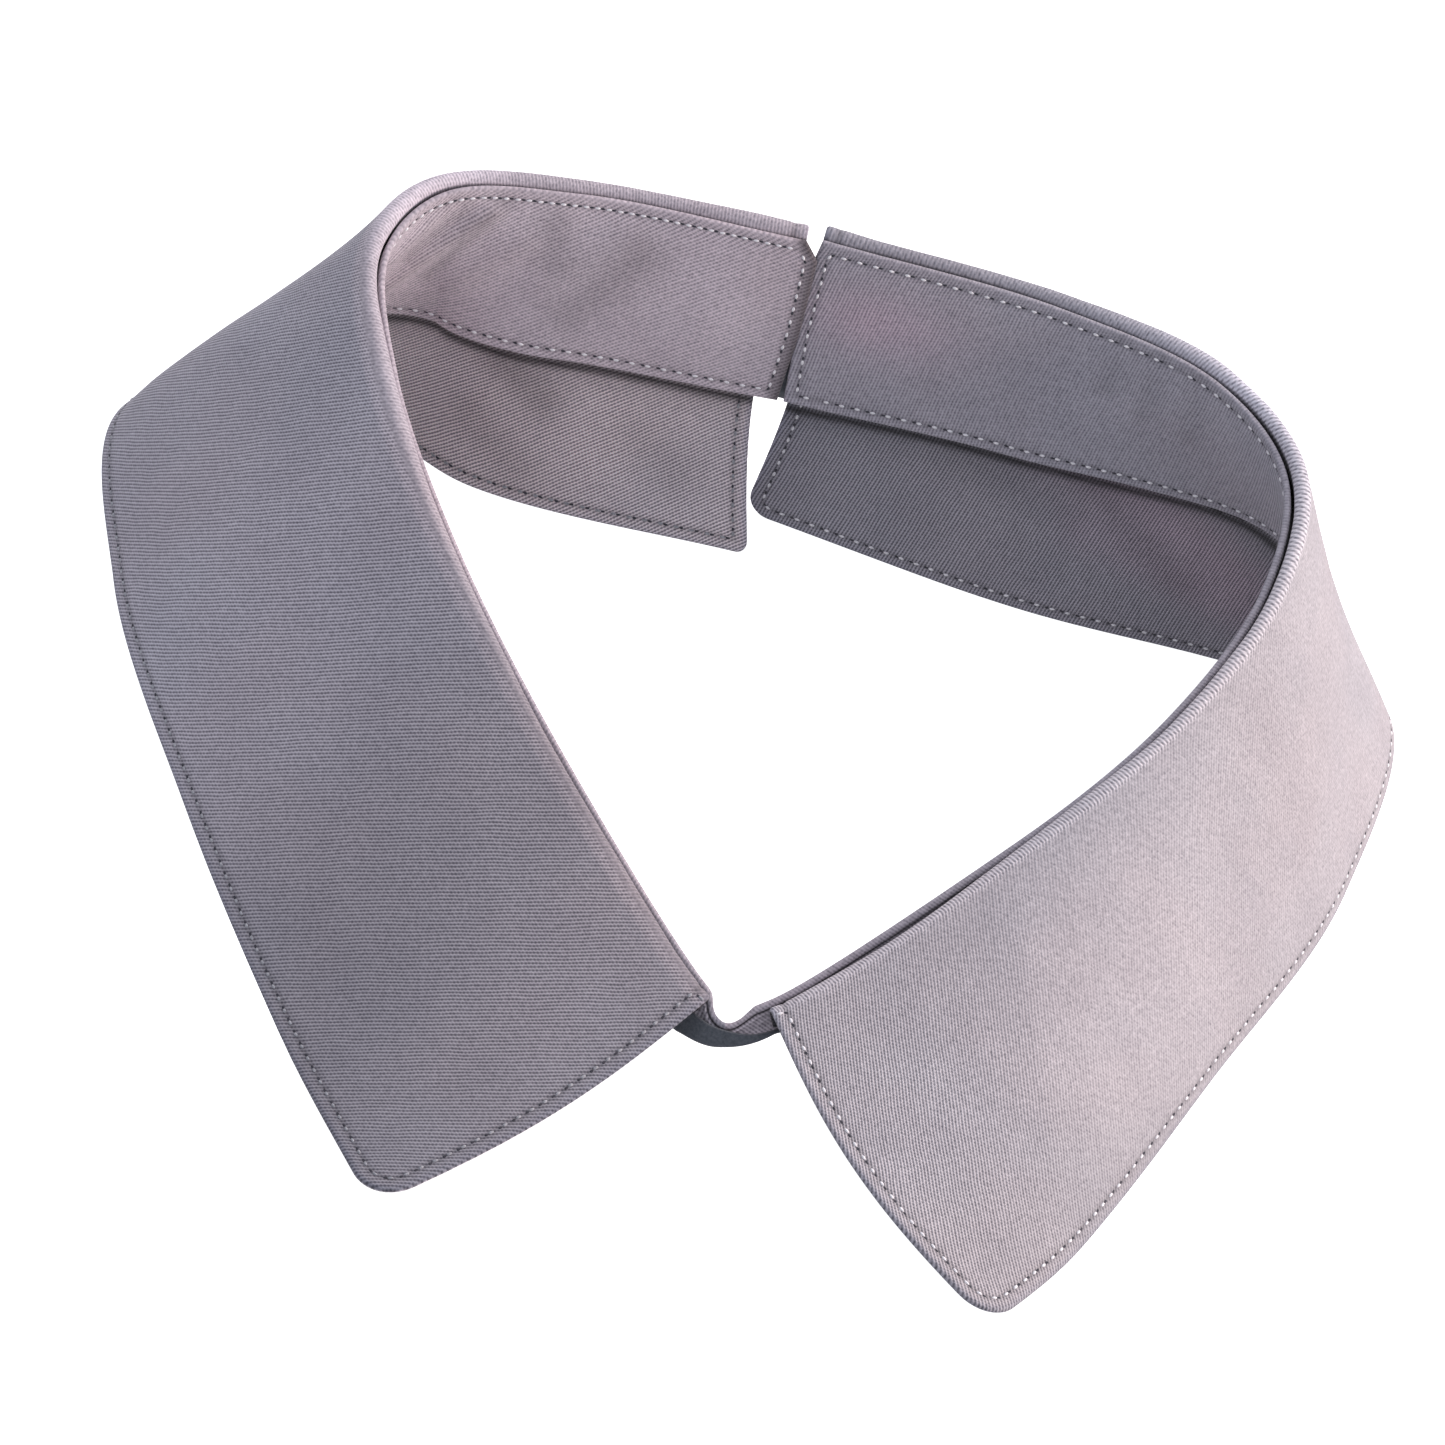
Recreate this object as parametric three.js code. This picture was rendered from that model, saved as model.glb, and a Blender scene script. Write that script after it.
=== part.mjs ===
import * as THREE from 'three';

// Detachable collar standing open on a table, on the outer edges of its two leaves.
// Lengths are millimetres. +X is the viewer's right, the tips point to -Y, the opening
// at the back faces +Y, and +Z is up.

const NECK_HALF_WIDTH = 63;
const NECK_HALF_DEPTH = 53.5;
const FOLD_HEIGHT = 54.6;
const STAND_HEIGHT = 28;
const STAND_THICKNESS = 1;
const LEAF_THICKNESS = 1;
const FIT_GAP = 0.3;

// The leaf is sewn to the outer face of the stand, rolls over its top edge and falls.
const ROOT_DEPTH = 3;
const ROLL_RADIUS = 0.9;
const FRONT_ROLL_DROP = 1.3;
const BACK_ROLL_DROP = 0.4;
const LEAF_BOW = 1;
const TABLE_SINK = 0.35;
const HELD_BELOW_FOOT = 5;
const HELD_FADE = 3;

// Centre front, where the stand shows between the leaves. The point is in shares like the
// fold columns below.
const FRONT_POINT = [-0.022, -1.000, 0.165];
const FRONT_STAND = 0.19;
const FRONT_DIP = 1.9;
const FRONT_DIP_REACH = 5;
const STRIP_TOP_DEPTH = 3.7;
const STRIP_RISE = 1.1;
const STRIP_OVERHANG = 0.2;
const STRIP_REACH = 0.8;
const STRIP_THICKNESS = 0.8;

// Centre back, where a tab lies behind the two ends of the stand.
const TAB_TOP_DEPTH = 17.5;
const TAB_HEIGHT = 10;
const TAB_REACH = 0.05;
const TAB_THICKNESS = 0.8;
const END_FADE = 0.25;
const END_CORNER_DEPTH = 3;

const LEAF_ROWS = 34;
const CORNER_ROWS = 5;
const TIP_SPAN = 0.05;
const HEEL_SPAN = 0.02;
const ROLL_STEPS = 6;
const FALL_STEPS = 9;
const STAND_ROWS_PER_SIDE = 36;

// One row for each of eight stations from centre front to the back opening. The fold is
// the stand's inner top edge and the edge is the leaf's outer edge. Out is a share of
// NECK_HALF_WIDTH, back of NECK_HALF_DEPTH, up of FOLD_HEIGHT, and stand of STAND_HEIGHT.
// Bow is how far the leaf swells between the two, in LEAF_BOW, and is negative where it is
// hollow. Tilt is the slope of the stand below the horizontal, outwards, in degrees.
const COLUMNS = [
  'foldOut', 'foldBack', 'foldUp', 'edgeOut', 'edgeBack', 'edgeUp', 'bow', 'tilt', 'stand',
];

const RIGHT_ROWS = [
  [0.050, -0.990, 0.180, 0.572, -1.866, 0.050, 0.5, 62, 0.15],
  [0.525, -0.594, 0.451, 0.767, -1.532, 0.003, 0.5, 65, 0.34],
  [0.857, -0.218, 0.658, 1.080, -0.842, 0.006, 0.5, 66, 0.52],
  [1.043, 0.145, 0.824, 1.408, -0.060, 0.000, 0.3, 67, 0.65],
  [1.071, 0.460, 0.936, 1.516, 0.690, 0.000, -1.2, 71, 0.75],
  [0.918, 0.706, 0.992, 1.121, 0.773, 0.000, -0.2, 85, 0.90],
  [0.566, 0.883, 1.004, 0.663, 0.843, 0.000, 0.0, 94, 0.97],
  [0.015, 1.006, 0.999, 0.020, 1.054, 0.004, 0.0, 97, 1.00],
];

const LEFT_ROWS = [
  [0.059, -0.986, 0.180, 0.770, -1.770, 0.037, 0.5, 61, 0.23],
  [0.443, -0.428, 0.400, 0.980, -1.190, 0.002, 0.5, 65, 0.34],
  [0.726, 0.070, 0.601, 1.224, -0.406, 0.004, 0.5, 68, 0.55],
  [0.897, 0.492, 0.769, 1.412, 0.379, 0.000, 0.8, 71, 0.72],
  [0.942, 0.810, 0.888, 1.409, 1.070, 0.000, 1.0, 76, 0.90],
  [0.830, 0.999, 0.952, 0.900, 1.168, 0.000, 0.0, 88, 0.98],
  [0.527, 1.055, 0.976, 0.612, 0.970, 0.000, 1.0, 99, 0.99],
  [0.022, 0.989, 1.001, -0.031, 0.878, 0.004, 2.0, 95, 1.00],
];

// The outlines that differ from one leaf to the other, in millimetres.
const RIGHT = {
  side: 1, rows: RIGHT_ROWS, frontBulge: 3.2, backSetBack: 1.8,
  tipRadius: 4.5, backRadius: 4, endCorner: 0.4, endFoot: -0.8,
};
const LEFT = {
  side: -1, rows: LEFT_ROWS, frontBulge: 2.3, backSetBack: 3.3,
  tipRadius: 5, backRadius: 2, endCorner: 1.5, endFoot: 2.4,
};

const CLOTH = { color: 0x9c96a1, roughness: 0.85, metalness: 0 };
const SMOOTH_CLOTH = { color: 0x474b53, roughness: 0.6, metalness: 0 };
const UP = new THREE.Vector3(0, 0, 1);
const LAST_ROW = RIGHT_ROWS.length - 1;

const clamp01 = (value) => Math.min(1, Math.max(0, value));
const smooth = (value) => clamp01(value) ** 2 * (3 - 2 * clamp01(value));
const range = (start, end) => Array.from({ length: end - start }, (_, index) => start + index);

function column(sideSpec, name, share) {
  const values = sideSpec.rows.map((row) => row[COLUMNS.indexOf(name)]);
  const line = new THREE.CatmullRomCurve3(values.map((value, index) => new THREE.Vector3(index, value, 0)));
  return line.getPoint(clamp01(share)).y;
}

function foldPoint(sideSpec, row) {
  const [out, back, up] = row;
  return new THREE.Vector3(
    sideSpec.side * out * NECK_HALF_WIDTH, back * NECK_HALF_DEPTH, up * FOLD_HEIGHT);
}

function edgePoint(sideSpec, row) {
  const [out, back, up] = row.slice(3);
  const sink = up > 0.03 ? 0 : TABLE_SINK;
  return new THREE.Vector3(
    sideSpec.side * out * NECK_HALF_WIDTH, back * NECK_HALF_DEPTH, up * FOLD_HEIGHT - sink);
}

// The whole fold line, from the left end at the back round the front to the right end.
function foldLine() {
  const left = LEFT.rows.map((row) => foldPoint(LEFT, row)).reverse();
  const right = RIGHT.rows.map((row) => foldPoint(RIGHT, row));
  const front = foldPoint(RIGHT, FRONT_POINT);
  return new THREE.CatmullRomCurve3([...left, front, ...right]);
}

const FOLD = foldLine();
const EDGES = new Map([LEFT, RIGHT].map((sideSpec) => [
  sideSpec, new THREE.CatmullRomCurve3(sideSpec.rows.map((row) => edgePoint(sideSpec, row)))]));

// Place on the fold line, with share 0 at the leaf's front end and 1 at the back. Shares
// below 0 reach to the centre front at -1 / LAST_ROW.
function foldShare(sideSpec, share) {
  return 0.5 + sideSpec.side * (share * LAST_ROW + 1) / (2 * (LAST_ROW + 1));
}

// Local directions at a place on the stand: along towards the back, out and down its face.
function station(sideSpec, share) {
  const place = clamp01(foldShare(sideSpec, share));
  const fold = FOLD.getPoint(place);
  const along = FOLD.getTangent(place).multiplyScalar(sideSpec.side);
  const level = new THREE.Vector3(along.y, -along.x, 0).normalize().multiplyScalar(sideSpec.side);
  const fall = UP.clone().negate().addScaledVector(along, along.z).normalize();
  const tilt = THREE.MathUtils.degToRad(column(sideSpec, 'tilt', share));
  const down = level.clone().multiplyScalar(Math.cos(tilt)).addScaledVector(fall, Math.sin(tilt));
  const out = level.clone().multiplyScalar(Math.sin(tilt)).addScaledVector(fall, -Math.cos(tilt));
  const stand = column(sideSpec, 'stand', share);
  const height = THREE.MathUtils.lerp(FRONT_STAND, stand, clamp01(1 + share * LAST_ROW)) * STAND_HEIGHT;
  return { fold, along, out, down, height };
}

// A hump of height 1 at the centre front that is gone where the dip between the leaves ends.
function frontHump(place) {
  return 1 - smooth(FOLD.getPoint(0.5).distanceTo(place.fold) / FRONT_DIP_REACH);
}

function facePoint(place, outward, depth) {
  return place.fold.clone().addScaledVector(place.out, outward).addScaledVector(place.down, depth);
}

// Rounded corners: how far the outer edge draws in at a distance from the sharp corner.
function drawIn(distance, radius) {
  const rest = clamp01(1 - distance / radius);
  return radius * (1 - Math.sqrt(1 - rest * rest));
}

// Shares of a leaf's sections, closer together at the rounded tip and the back corner.
function leafShares() {
  const corner = (span) => range(0, CORNER_ROWS)
    .map((index) => span * (1 - Math.cos(Math.PI / 2 * index / CORNER_ROWS)));
  const front = corner(TIP_SPAN);
  const back = corner(HEEL_SPAN).map((share) => 1 - share).reverse();
  const middle = range(0, LEAF_ROWS)
    .map((index) => TIP_SPAN + (1 - TIP_SPAN - HEEL_SPAN) * index / (LEAF_ROWS - 1));
  return [...front, ...middle, ...back];
}

// The place on the stand whose section holds a point of the leaf, found from a first share.
function shareBeside(sideSpec, share, point) {
  const lengthPerShare = FOLD.getLength() * LAST_ROW / (2 * (LAST_ROW + 1));
  let near = share;
  for (let round = 0; round < 4; round += 1) {
    const place = station(sideSpec, near);
    near += point.clone().sub(place.fold).dot(place.along) / lengthPerShare;
    near = Math.min(1, near);
  }
  return near;
}

// Holds a point of the leaf off the stand, and off the tab where one lies behind the stand,
// down to a little below their feet.
function heldOff(sideSpec, share, point) {
  const near = shareBeside(sideSpec, share, point);
  const place = station(sideSpec, near);
  const offset = point.clone().sub(place.fold);
  const tabHere = smooth((near - 1 + 2 * TAB_REACH) / TAB_REACH);
  const behind = STAND_THICKNESS + tabHere * (FIT_GAP + TAB_THICKNESS);
  const foot = Math.max(place.height, tabHere * (TAB_TOP_DEPTH + TAB_HEIGHT));
  const push = Math.max(0, behind + 2 * FIT_GAP + LEAF_THICKNESS / 2 - offset.dot(place.out));
  const held = smooth((foot + HELD_BELOW_FOOT - offset.dot(place.down)) / HELD_FADE);
  return point.addScaledVector(place.out, push * held);
}

// One section of a leaf, from its root up the stand, over the roll and down to the edge.
function leafSection(sideSpec, share) {
  const place = station(sideSpec, share);
  const outward = STAND_THICKNESS + FIT_GAP + LEAF_THICKNESS / 2;
  const drop = THREE.MathUtils.lerp(FRONT_ROLL_DROP, BACK_ROLL_DROP, smooth(share / 0.3));
  const centre = facePoint(place, outward + ROLL_RADIUS, drop);
  const edge = EDGES.get(sideSpec).getPoint(share);
  const toEdge = edge.clone().sub(centre);
  const across = toEdge.dot(place.out);
  const below = toEdge.dot(place.down);
  const turn = Math.atan2(below, across) + Math.PI - Math.acos(ROLL_RADIUS / Math.hypot(across, below));
  const points = [facePoint(place, outward, ROOT_DEPTH)];
  for (let step = 0; step <= ROLL_STEPS; step += 1) {
    const angle = turn * step / ROLL_STEPS;
    points.push(centre.clone().addScaledVector(place.out, -ROLL_RADIUS * Math.cos(angle))
      .addScaledVector(place.down, -ROLL_RADIUS * Math.sin(angle)));
  }
  const start = points[points.length - 1];
  const ends = EDGES.get(sideSpec);
  const tip = drawIn(edge.distanceTo(ends.getPoint(0)), sideSpec.tipRadius * 1.35);
  const heel = drawIn(edge.distanceTo(ends.getPoint(1)), sideSpec.backRadius);
  const reach = 1 - Math.max(tip, heel) / start.distanceTo(edge);
  const face = new THREE.Vector3().crossVectors(place.along, edge.clone().sub(start));
  face.normalize().multiplyScalar(-sideSpec.side);
  const swell = LEAF_BOW * column(sideSpec, 'bow', share);
  for (let step = 1; step <= FALL_STEPS; step += 1) {
    const fall = reach * step / FALL_STEPS;
    const bow = Math.sin(Math.PI * fall);
    const point = start.clone().lerp(edge, fall).addScaledVector(face, swell * bow);
    point.addScaledVector(place.along, -sideSpec.frontBulge * bow * smooth(1 - share / 0.25));
    point.addScaledVector(place.along, -sideSpec.backSetBack * bow * smooth((share - 0.8) / 0.2));
    points.push(heldOff(sideSpec, share, point));
  }
  return points;
}

// Solid sheet of even thickness about a grid of points, closed round its four sides.
function sheet(grid, thickness) {
  const rows = grid.length;
  const columns = grid[0].length;
  const inside = (index, count) => Math.min(count - 1, Math.max(0, index));
  const at = (row, col) => grid[inside(row, rows)][inside(col, columns)];
  const faces = [[], []];
  for (let row = 0; row < rows; row += 1) {
    for (let col = 0; col < columns; col += 1) {
      const down = at(row + 1, col).clone().sub(at(row - 1, col));
      const over = at(row, col + 1).clone().sub(at(row, col - 1));
      const normal = down.cross(over).normalize();
      for (const half of [0, 1]) {
        const point = at(row, col).clone().addScaledVector(normal, (half ? -1 : 1) * thickness / 2);
        point.z = Math.max(0, point.z);
        faces[half].push(point);
      }
    }
  }
  const positions = [...faces[0], ...faces[1]].flatMap((point) => point.toArray());
  return closedSheet(positions, rows, columns);
}

function closedSheet(positions, rows, columns) {
  const under = rows * columns;
  const indices = [];
  const quad = (a, b, c, d) => indices.push(a, b, c, a, c, d);
  for (let row = 0; row < rows - 1; row += 1) {
    for (let col = 0; col < columns - 1; col += 1) {
      const here = row * columns + col;
      const next = here + columns;
      quad(here, next, next + 1, here + 1);
      quad(under + here, under + here + 1, under + next + 1, under + next);
    }
  }
  const lastRow = (rows - 1) * columns;
  const rim = [
    ...range(0, columns - 1),
    ...range(0, rows - 1).map((row) => row * columns + columns - 1),
    ...range(1, columns).reverse().map((col) => lastRow + col),
    ...range(1, rows).reverse().map((row) => row * columns),
  ];
  rim.forEach((here, index) => {
    const next = rim[(index + 1) % rim.length];
    quad(here, next, under + next, under + here);
  });
  const geometry = new THREE.BufferGeometry();
  geometry.setAttribute('position', new THREE.Float32BufferAttribute(positions, 3));
  geometry.setIndex(indices);
  return geometry;
}

// Sections of the left side run the other way, so that every face looks outwards.
const ordered = (sideSpec, grid) => (sideSpec.side > 0 ? grid : grid.reverse());

function leaf(sideSpec) {
  const grid = leafShares().map((share) => leafSection(sideSpec, share));
  return sheet(ordered(sideSpec, grid), LEAF_THICKNESS);
}

// One section of the stand at a share from the centre front, lowered where it dips, and
// drawn out or in at the back end.
function standSection(sideSpec, share) {
  const place = station(sideSpec, share);
  const dip = FRONT_DIP * frontHump(place);
  const end = smooth((share - 1 + END_FADE) / END_FADE);
  const depths = [dip, Math.max(dip, END_CORNER_DEPTH), (END_CORNER_DEPTH + place.height) / 2, place.height];
  const foot = (sideSpec.endCorner + sideSpec.endFoot) / 2;
  const reaches = [0, sideSpec.endCorner, foot, sideSpec.endFoot];
  return depths.map((depth, index) => facePoint(place, STAND_THICKNESS / 2, depth)
    .addScaledVector(place.along, end * reaches[index]));
}

// Shares of the stand, from the back of the left side round the front to the right side.
function standGrid() {
  const first = -1 / LAST_ROW;
  const shares = range(0, STAND_ROWS_PER_SIDE + 1)
    .map((index) => first + (1 - first) * index / STAND_ROWS_PER_SIDE);
  const left = shares.slice(1).reverse().map((share) => standSection(LEFT, share));
  const right = shares.map((share) => standSection(RIGHT, share));
  return [...left, ...right];
}

function frontStrip() {
  const section = (sideSpec, share) => {
    const place = station(sideSpec, share);
    const outward = STAND_THICKNESS + FIT_GAP + STRIP_THICKNESS / 2;
    const top = STRIP_TOP_DEPTH - STRIP_RISE * frontHump(place);
    return [top, place.height + STRIP_OVERHANG].map((depth) => facePoint(place, outward, depth));
  };
  const shares = [0.08, 0.06, 0.04, 0.02, 0, -0.03, -0.07, -0.11];
  const left = shares.map((share) => section(LEFT, share * STRIP_REACH));
  const right = shares.map((share) => section(RIGHT, share * STRIP_REACH)).reverse();
  return sheet([...left, section(RIGHT, -1 / LAST_ROW), ...right], STRIP_THICKNESS);
}

function backTab() {
  const section = (sideSpec, share) => {
    const place = station(sideSpec, share);
    const outward = STAND_THICKNESS + FIT_GAP + TAB_THICKNESS / 2;
    return [TAB_TOP_DEPTH, TAB_TOP_DEPTH + TAB_HEIGHT].map((depth) => facePoint(place, outward, depth));
  };
  const shares = [1 - TAB_REACH, 1 - TAB_REACH * 0.6, 1 - TAB_REACH * 0.3, 1];
  const right = shares.map((share) => section(RIGHT, share));
  const left = shares.map((share) => section(LEFT, share)).reverse();
  return sheet([...right, ...left], TAB_THICKNESS);
}

function mesh(name, geometry, material) {
  const piece = new THREE.Mesh(geometry, new THREE.MeshStandardMaterial({ ...material, name }));
  piece.name = name;
  geometry.computeVertexNormals();
  return piece;
}

// Centred over the origin, resting on the plane z = 0.
function centred(group) {
  const box = new THREE.Box3().setFromObject(group);
  const middle = box.getCenter(new THREE.Vector3());
  group.children.forEach((piece) => piece.geometry.translate(-middle.x, -middle.y, -box.min.z));
  return group;
}

const collar = new THREE.Group();
collar.name = 'detachable_collar';
collar.add(mesh('stand_band', sheet(standGrid(), STAND_THICKNESS), CLOTH));
collar.add(mesh('left_leaf', leaf(LEFT), CLOTH));
collar.add(mesh('right_leaf', leaf(RIGHT), CLOTH));
collar.add(mesh('front_strip', frontStrip(), SMOOTH_CLOTH));
collar.add(mesh('back_tab', backTab(), SMOOTH_CLOTH));

export default centred(collar);
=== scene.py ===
import math

import bpy
import numpy as np
from mathutils import Matrix, Vector


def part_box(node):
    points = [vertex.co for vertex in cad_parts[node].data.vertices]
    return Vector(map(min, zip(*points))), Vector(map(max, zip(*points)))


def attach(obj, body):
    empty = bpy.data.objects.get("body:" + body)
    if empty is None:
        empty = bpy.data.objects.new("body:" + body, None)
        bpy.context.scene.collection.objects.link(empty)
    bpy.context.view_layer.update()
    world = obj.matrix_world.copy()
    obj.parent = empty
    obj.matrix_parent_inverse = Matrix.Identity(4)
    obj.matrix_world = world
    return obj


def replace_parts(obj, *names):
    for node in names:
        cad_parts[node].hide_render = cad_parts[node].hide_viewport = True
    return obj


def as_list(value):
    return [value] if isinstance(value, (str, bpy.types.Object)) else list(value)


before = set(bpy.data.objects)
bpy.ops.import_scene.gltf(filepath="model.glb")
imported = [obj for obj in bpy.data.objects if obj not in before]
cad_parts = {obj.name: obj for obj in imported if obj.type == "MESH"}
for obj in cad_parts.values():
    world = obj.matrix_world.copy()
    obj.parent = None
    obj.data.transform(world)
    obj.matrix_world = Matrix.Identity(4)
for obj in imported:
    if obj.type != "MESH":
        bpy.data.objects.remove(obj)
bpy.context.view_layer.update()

MM = 0.001

# Driving sizes, in millimetres, as in the part's source.
NECK_HALF_WIDTH = 63
NECK_HALF_DEPTH = 53.5
FOLD_HEIGHT = 54.6
STAND_HEIGHT = 28
STAND_THICKNESS = 1
LEAF_THICKNESS = 1
FIT_GAP = 0.3
ROOT_DEPTH = 3
ROLL_RADIUS = 0.9
FRONT_ROLL_DROP = 1.3
BACK_ROLL_DROP = 0.4
TABLE_SINK = 0.35
FRONT_POINT = [-0.022, -1.000, 0.165]
FRONT_STAND = 0.19
FRONT_DIP = 2.6
FRONT_DIP_REACH = 3.5
RIM_RISE_AT = 0.07
RIM_RISE_SPAN = 0.13
STRIP_TOP_DEPTH = 3.7
STRIP_RISE = 0.35
STRIP_OVERHANG = 0.2
STRIP_SPAN = 0.064
STRIP_THICKNESS = 0.8
STRIP_LEAN = 0.13
STRIP_LEAN_MOST = 0.9
TAB_TOP_DEPTH = 15
TAB_HEIGHT = 13.2
TAB_SPAN = 0.05
TAB_THICKNESS = 0.8
END_FADE = 0.25
END_CORNER_DEPTH = 3
END_FOOT_SHARE = 0.15
ROLL_DROP_SPAN = 0.3
FRONT_BULGE_SPAN = 0.25
SET_BACK_FROM = 0.8
TIP_DRAW = 1.35
RAISED_EDGE = 0.03

# Rows and columns of the grids.
LEAF_ROWS = 290
ROOT_STEPS = 4
ROLL_STEPS = 12
FALL_STEPS = 72
STAND_ROWS = 230
STAND_STEPS = 26
STRIP_ROWS = 60
TAB_ROWS = 24
STRIP_STEPS = 10

# Stations from the centre front to the back opening. Out is a share of NECK_HALF_WIDTH,
# back of NECK_HALF_DEPTH, up of FOLD_HEIGHT, and stand of STAND_HEIGHT. Bow is the leaf's
# swell in millimetres and tilt the slope of the stand in degrees.
COLUMNS = ["foldOut", "foldBack", "foldUp", "edgeOut", "edgeBack", "edgeUp", "bow", "tilt", "stand"]
RIGHT_ROWS = [
    [0.050, -0.990, 0.180, 0.572, -1.866, 0.050, 0.5, 62, 0.15],
    [0.525, -0.594, 0.451, 0.767, -1.532, 0.003, 0.5, 65, 0.34],
    [0.857, -0.218, 0.658, 1.080, -0.842, 0.006, 0.5, 66, 0.52],
    [1.043, 0.145, 0.824, 1.408, -0.060, 0.000, 0.3, 67, 0.65],
    [1.071, 0.460, 0.936, 1.516, 0.690, 0.000, -1.2, 71, 0.75],
    [0.918, 0.706, 0.992, 1.121, 0.773, 0.000, -0.2, 85, 0.90],
    [0.566, 0.883, 1.004, 0.663, 0.843, 0.000, 0.0, 94, 0.97],
    [0.015, 1.006, 0.999, 0.020, 1.054, 0.004, 0.0, 97, 1.00],
]
LEFT_ROWS = [
    [0.059, -0.986, 0.180, 0.770, -1.770, 0.037, 0.5, 61, 0.23],
    [0.443, -0.428, 0.400, 0.980, -1.190, 0.002, 0.5, 65, 0.34],
    [0.726, 0.070, 0.601, 1.224, -0.406, 0.004, 0.5, 68, 0.55],
    [0.897, 0.492, 0.769, 1.412, 0.379, 0.000, 0.8, 71, 0.72],
    [0.942, 0.810, 0.888, 1.409, 1.070, 0.000, 1.0, 76, 0.90],
    [0.830, 0.999, 0.952, 0.900, 1.168, 0.000, 0.0, 88, 0.98],
    [0.527, 1.055, 0.976, 0.612, 0.970, 0.000, 1.0, 99, 0.99],
    [0.022, 0.989, 1.001, -0.031, 0.878, 0.004, 2.0, 95, 1.00],
]
LAST_ROW = len(RIGHT_ROWS) - 1
FRONT_SHARE = -1 / LAST_ROW

# The two sides: how the leaf's outline swells and sets back, its corners' radii, how far the
# stand's end reaches at its corner and at its foot, and its rim's rise, in millimetres.
RIGHT = dict(side=1, rows=RIGHT_ROWS, front_bulge=3.2, back_set_back=1.8, tip_radius=4.5,
             back_radius=4, end_corner=0.4, end_foot=-0.8, rim_rise=0.6)
LEFT = dict(side=-1, rows=LEFT_ROWS, front_bulge=2.3, back_set_back=3.3, tip_radius=5,
            back_radius=2, end_corner=2.1, end_foot=0.9, rim_rise=0)


def straight_twill(degrees, pitch):
    """Twill whose lines cross the flat cloth at one angle, pitch millimetres apart."""
    angle = math.radians(degrees)
    return dict(x=-math.sin(angle) / pitch, y=math.cos(angle) / pitch, xx=0, xy=0, yy=0)


# Twill lines crossed on the flat cloth: x and y are lines per millimetre along the cloth and
# down it, and xx, xy and yy say how these change where the drape shears the cloth. Beyond two
# places in millimetres they run straight. On the right leaf the roll and the back have their
# own slant, as lines more per millimetre.
LEFT_OUTER_TWILL = dict(x=-1.652, y=0.917, xx=0.00254, xy=0.00599, yy=0.0016)
RIGHT_OUTER_TWILL = dict(x=-2.128, y=-1.076, xx=0.00111, xy=0.0061, yy=0.0026)
STRAIGHT_BEYOND_X = 140
STRAIGHT_BEYOND_Y = -25
RIGHT_ROLL_BEND = -1.4
RIGHT_BACK_TWILL = -0.74
LEFT_UNDER_TWILL = straight_twill(79, 0.51)
RIGHT_UNDER_TWILL = straight_twill(24, 0.49)
STAND_TWILLS = [straight_twill(35, 0.536), straight_twill(141, 0.472)]

# The twill map counts lines and millimetres in hundreds.
TWILL_UNIT = 100

# Sewing, in millimetres.
STITCH_INSET = 2
STAND_STITCH_INSET = 1.7
STITCH_PITCH = 2.3
FINE_STITCH_PITCH = 1.63
STITCH_LENGTH = 0.8
STITCH_RADIUS = 0.22
STITCH_LIFT = [0.03, 0.07]
STITCH_WANDER = 0.05
STITCH_PULL = 0.3
STITCH_FLATNESS = 0.8
# The needle holes are dark capsules of painted shade.
HOLE_LENGTH = 0.7
HOLE_RADIUS = 0.25
HOLE_HEIGHT = 0.09
HOLE_SINK = 0.03
LINE_BREAK = 3
GROOVE_DEPTH = 0.13
GROOVE_WIDTH = 0.45
EDGE_ROUND = 0.55
BEAD_PITCH = 0.5
# The stitched channel and the rim are darkened with painted shade.
CHANNEL_WIDTH = 0.5
CHANNEL_SHADE = 0.3
RIM_WIDTH = 1.2
RIM_SHADE = np.array([0.2, 0.17, 0.12])
RIM_HALF = 0.1

# Painted shade in the crevice between the rolls and the stand, in millimetres below the stand's
# rim.
CREVICE_SHADE = 0.85
CREVICE_DEPTH = 0.2
CREVICE_FADE = 0.4
OUTER_CREVICE_DEPTH = 0.6

# The painted shadow on the leaves under the stand's foot, in millimetres, and the direction of
# the light that it shades.
FOOT_SHADE = 0.88
FOOT_WIDTH = 0.62
FOOT_SOFT_SHADE = 0.2
FOOT_SOFT_WIDTH = 2.5
LIGHT_FROM = np.array([-0.14, -0.72, 0.68])

# Flat sizes of the cut cloths, in metres, and their areas in square metres.
LEAF_CUTS = [(0.094, 0.237), (0.091, 0.233)]
LEAF_AREAS = [0.01262, 0.01241]

# Length of each side of the stand, and the band of painted shade at its left end, in millimetres.
SIDE_LENGTH = 162
END_BAND = 1.7
END_SHADE = 0.78

# The seam and piping on the band's outer face at the centre front, in millimetres. Their span
# is a share of each side.
SEAM_DEPTH = 0.3
SEAM_FALL = 0.75
SEAM_WIDTH = 0.2
SEAM_PRESS = 0.15
PIPING_DROP = 0.45
PIPING_WIDTH = 0.25
PIPING_RISE = 0.16
SEAM_SPAN = 0.1

# The camera looks at AIM, in millimetres, from the photograph's angle.
AIM = (-3.28, 31.17, -3.15)
CAMERA_ELEVATION = 42.77
CAMERA_AZIMUTH = -10.78
CAMERA_ROLL = -16.53
CAMERA_DISTANCE = 1479
CAMERA_LENS = 259.8


def smooth(value):
    value = np.clip(value, 0, 1)
    return value * value * (3 - 2 * value)


def bell(distance, width):
    """From 1 at no distance toward 0 well beyond the width."""
    return np.exp(-(distance / width) ** 2)


def unit(vectors):
    return vectors / np.linalg.norm(vectors, axis=-1, keepdims=True)


def dot(first, second):
    return (first * second).sum(-1, keepdims=True)


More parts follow.
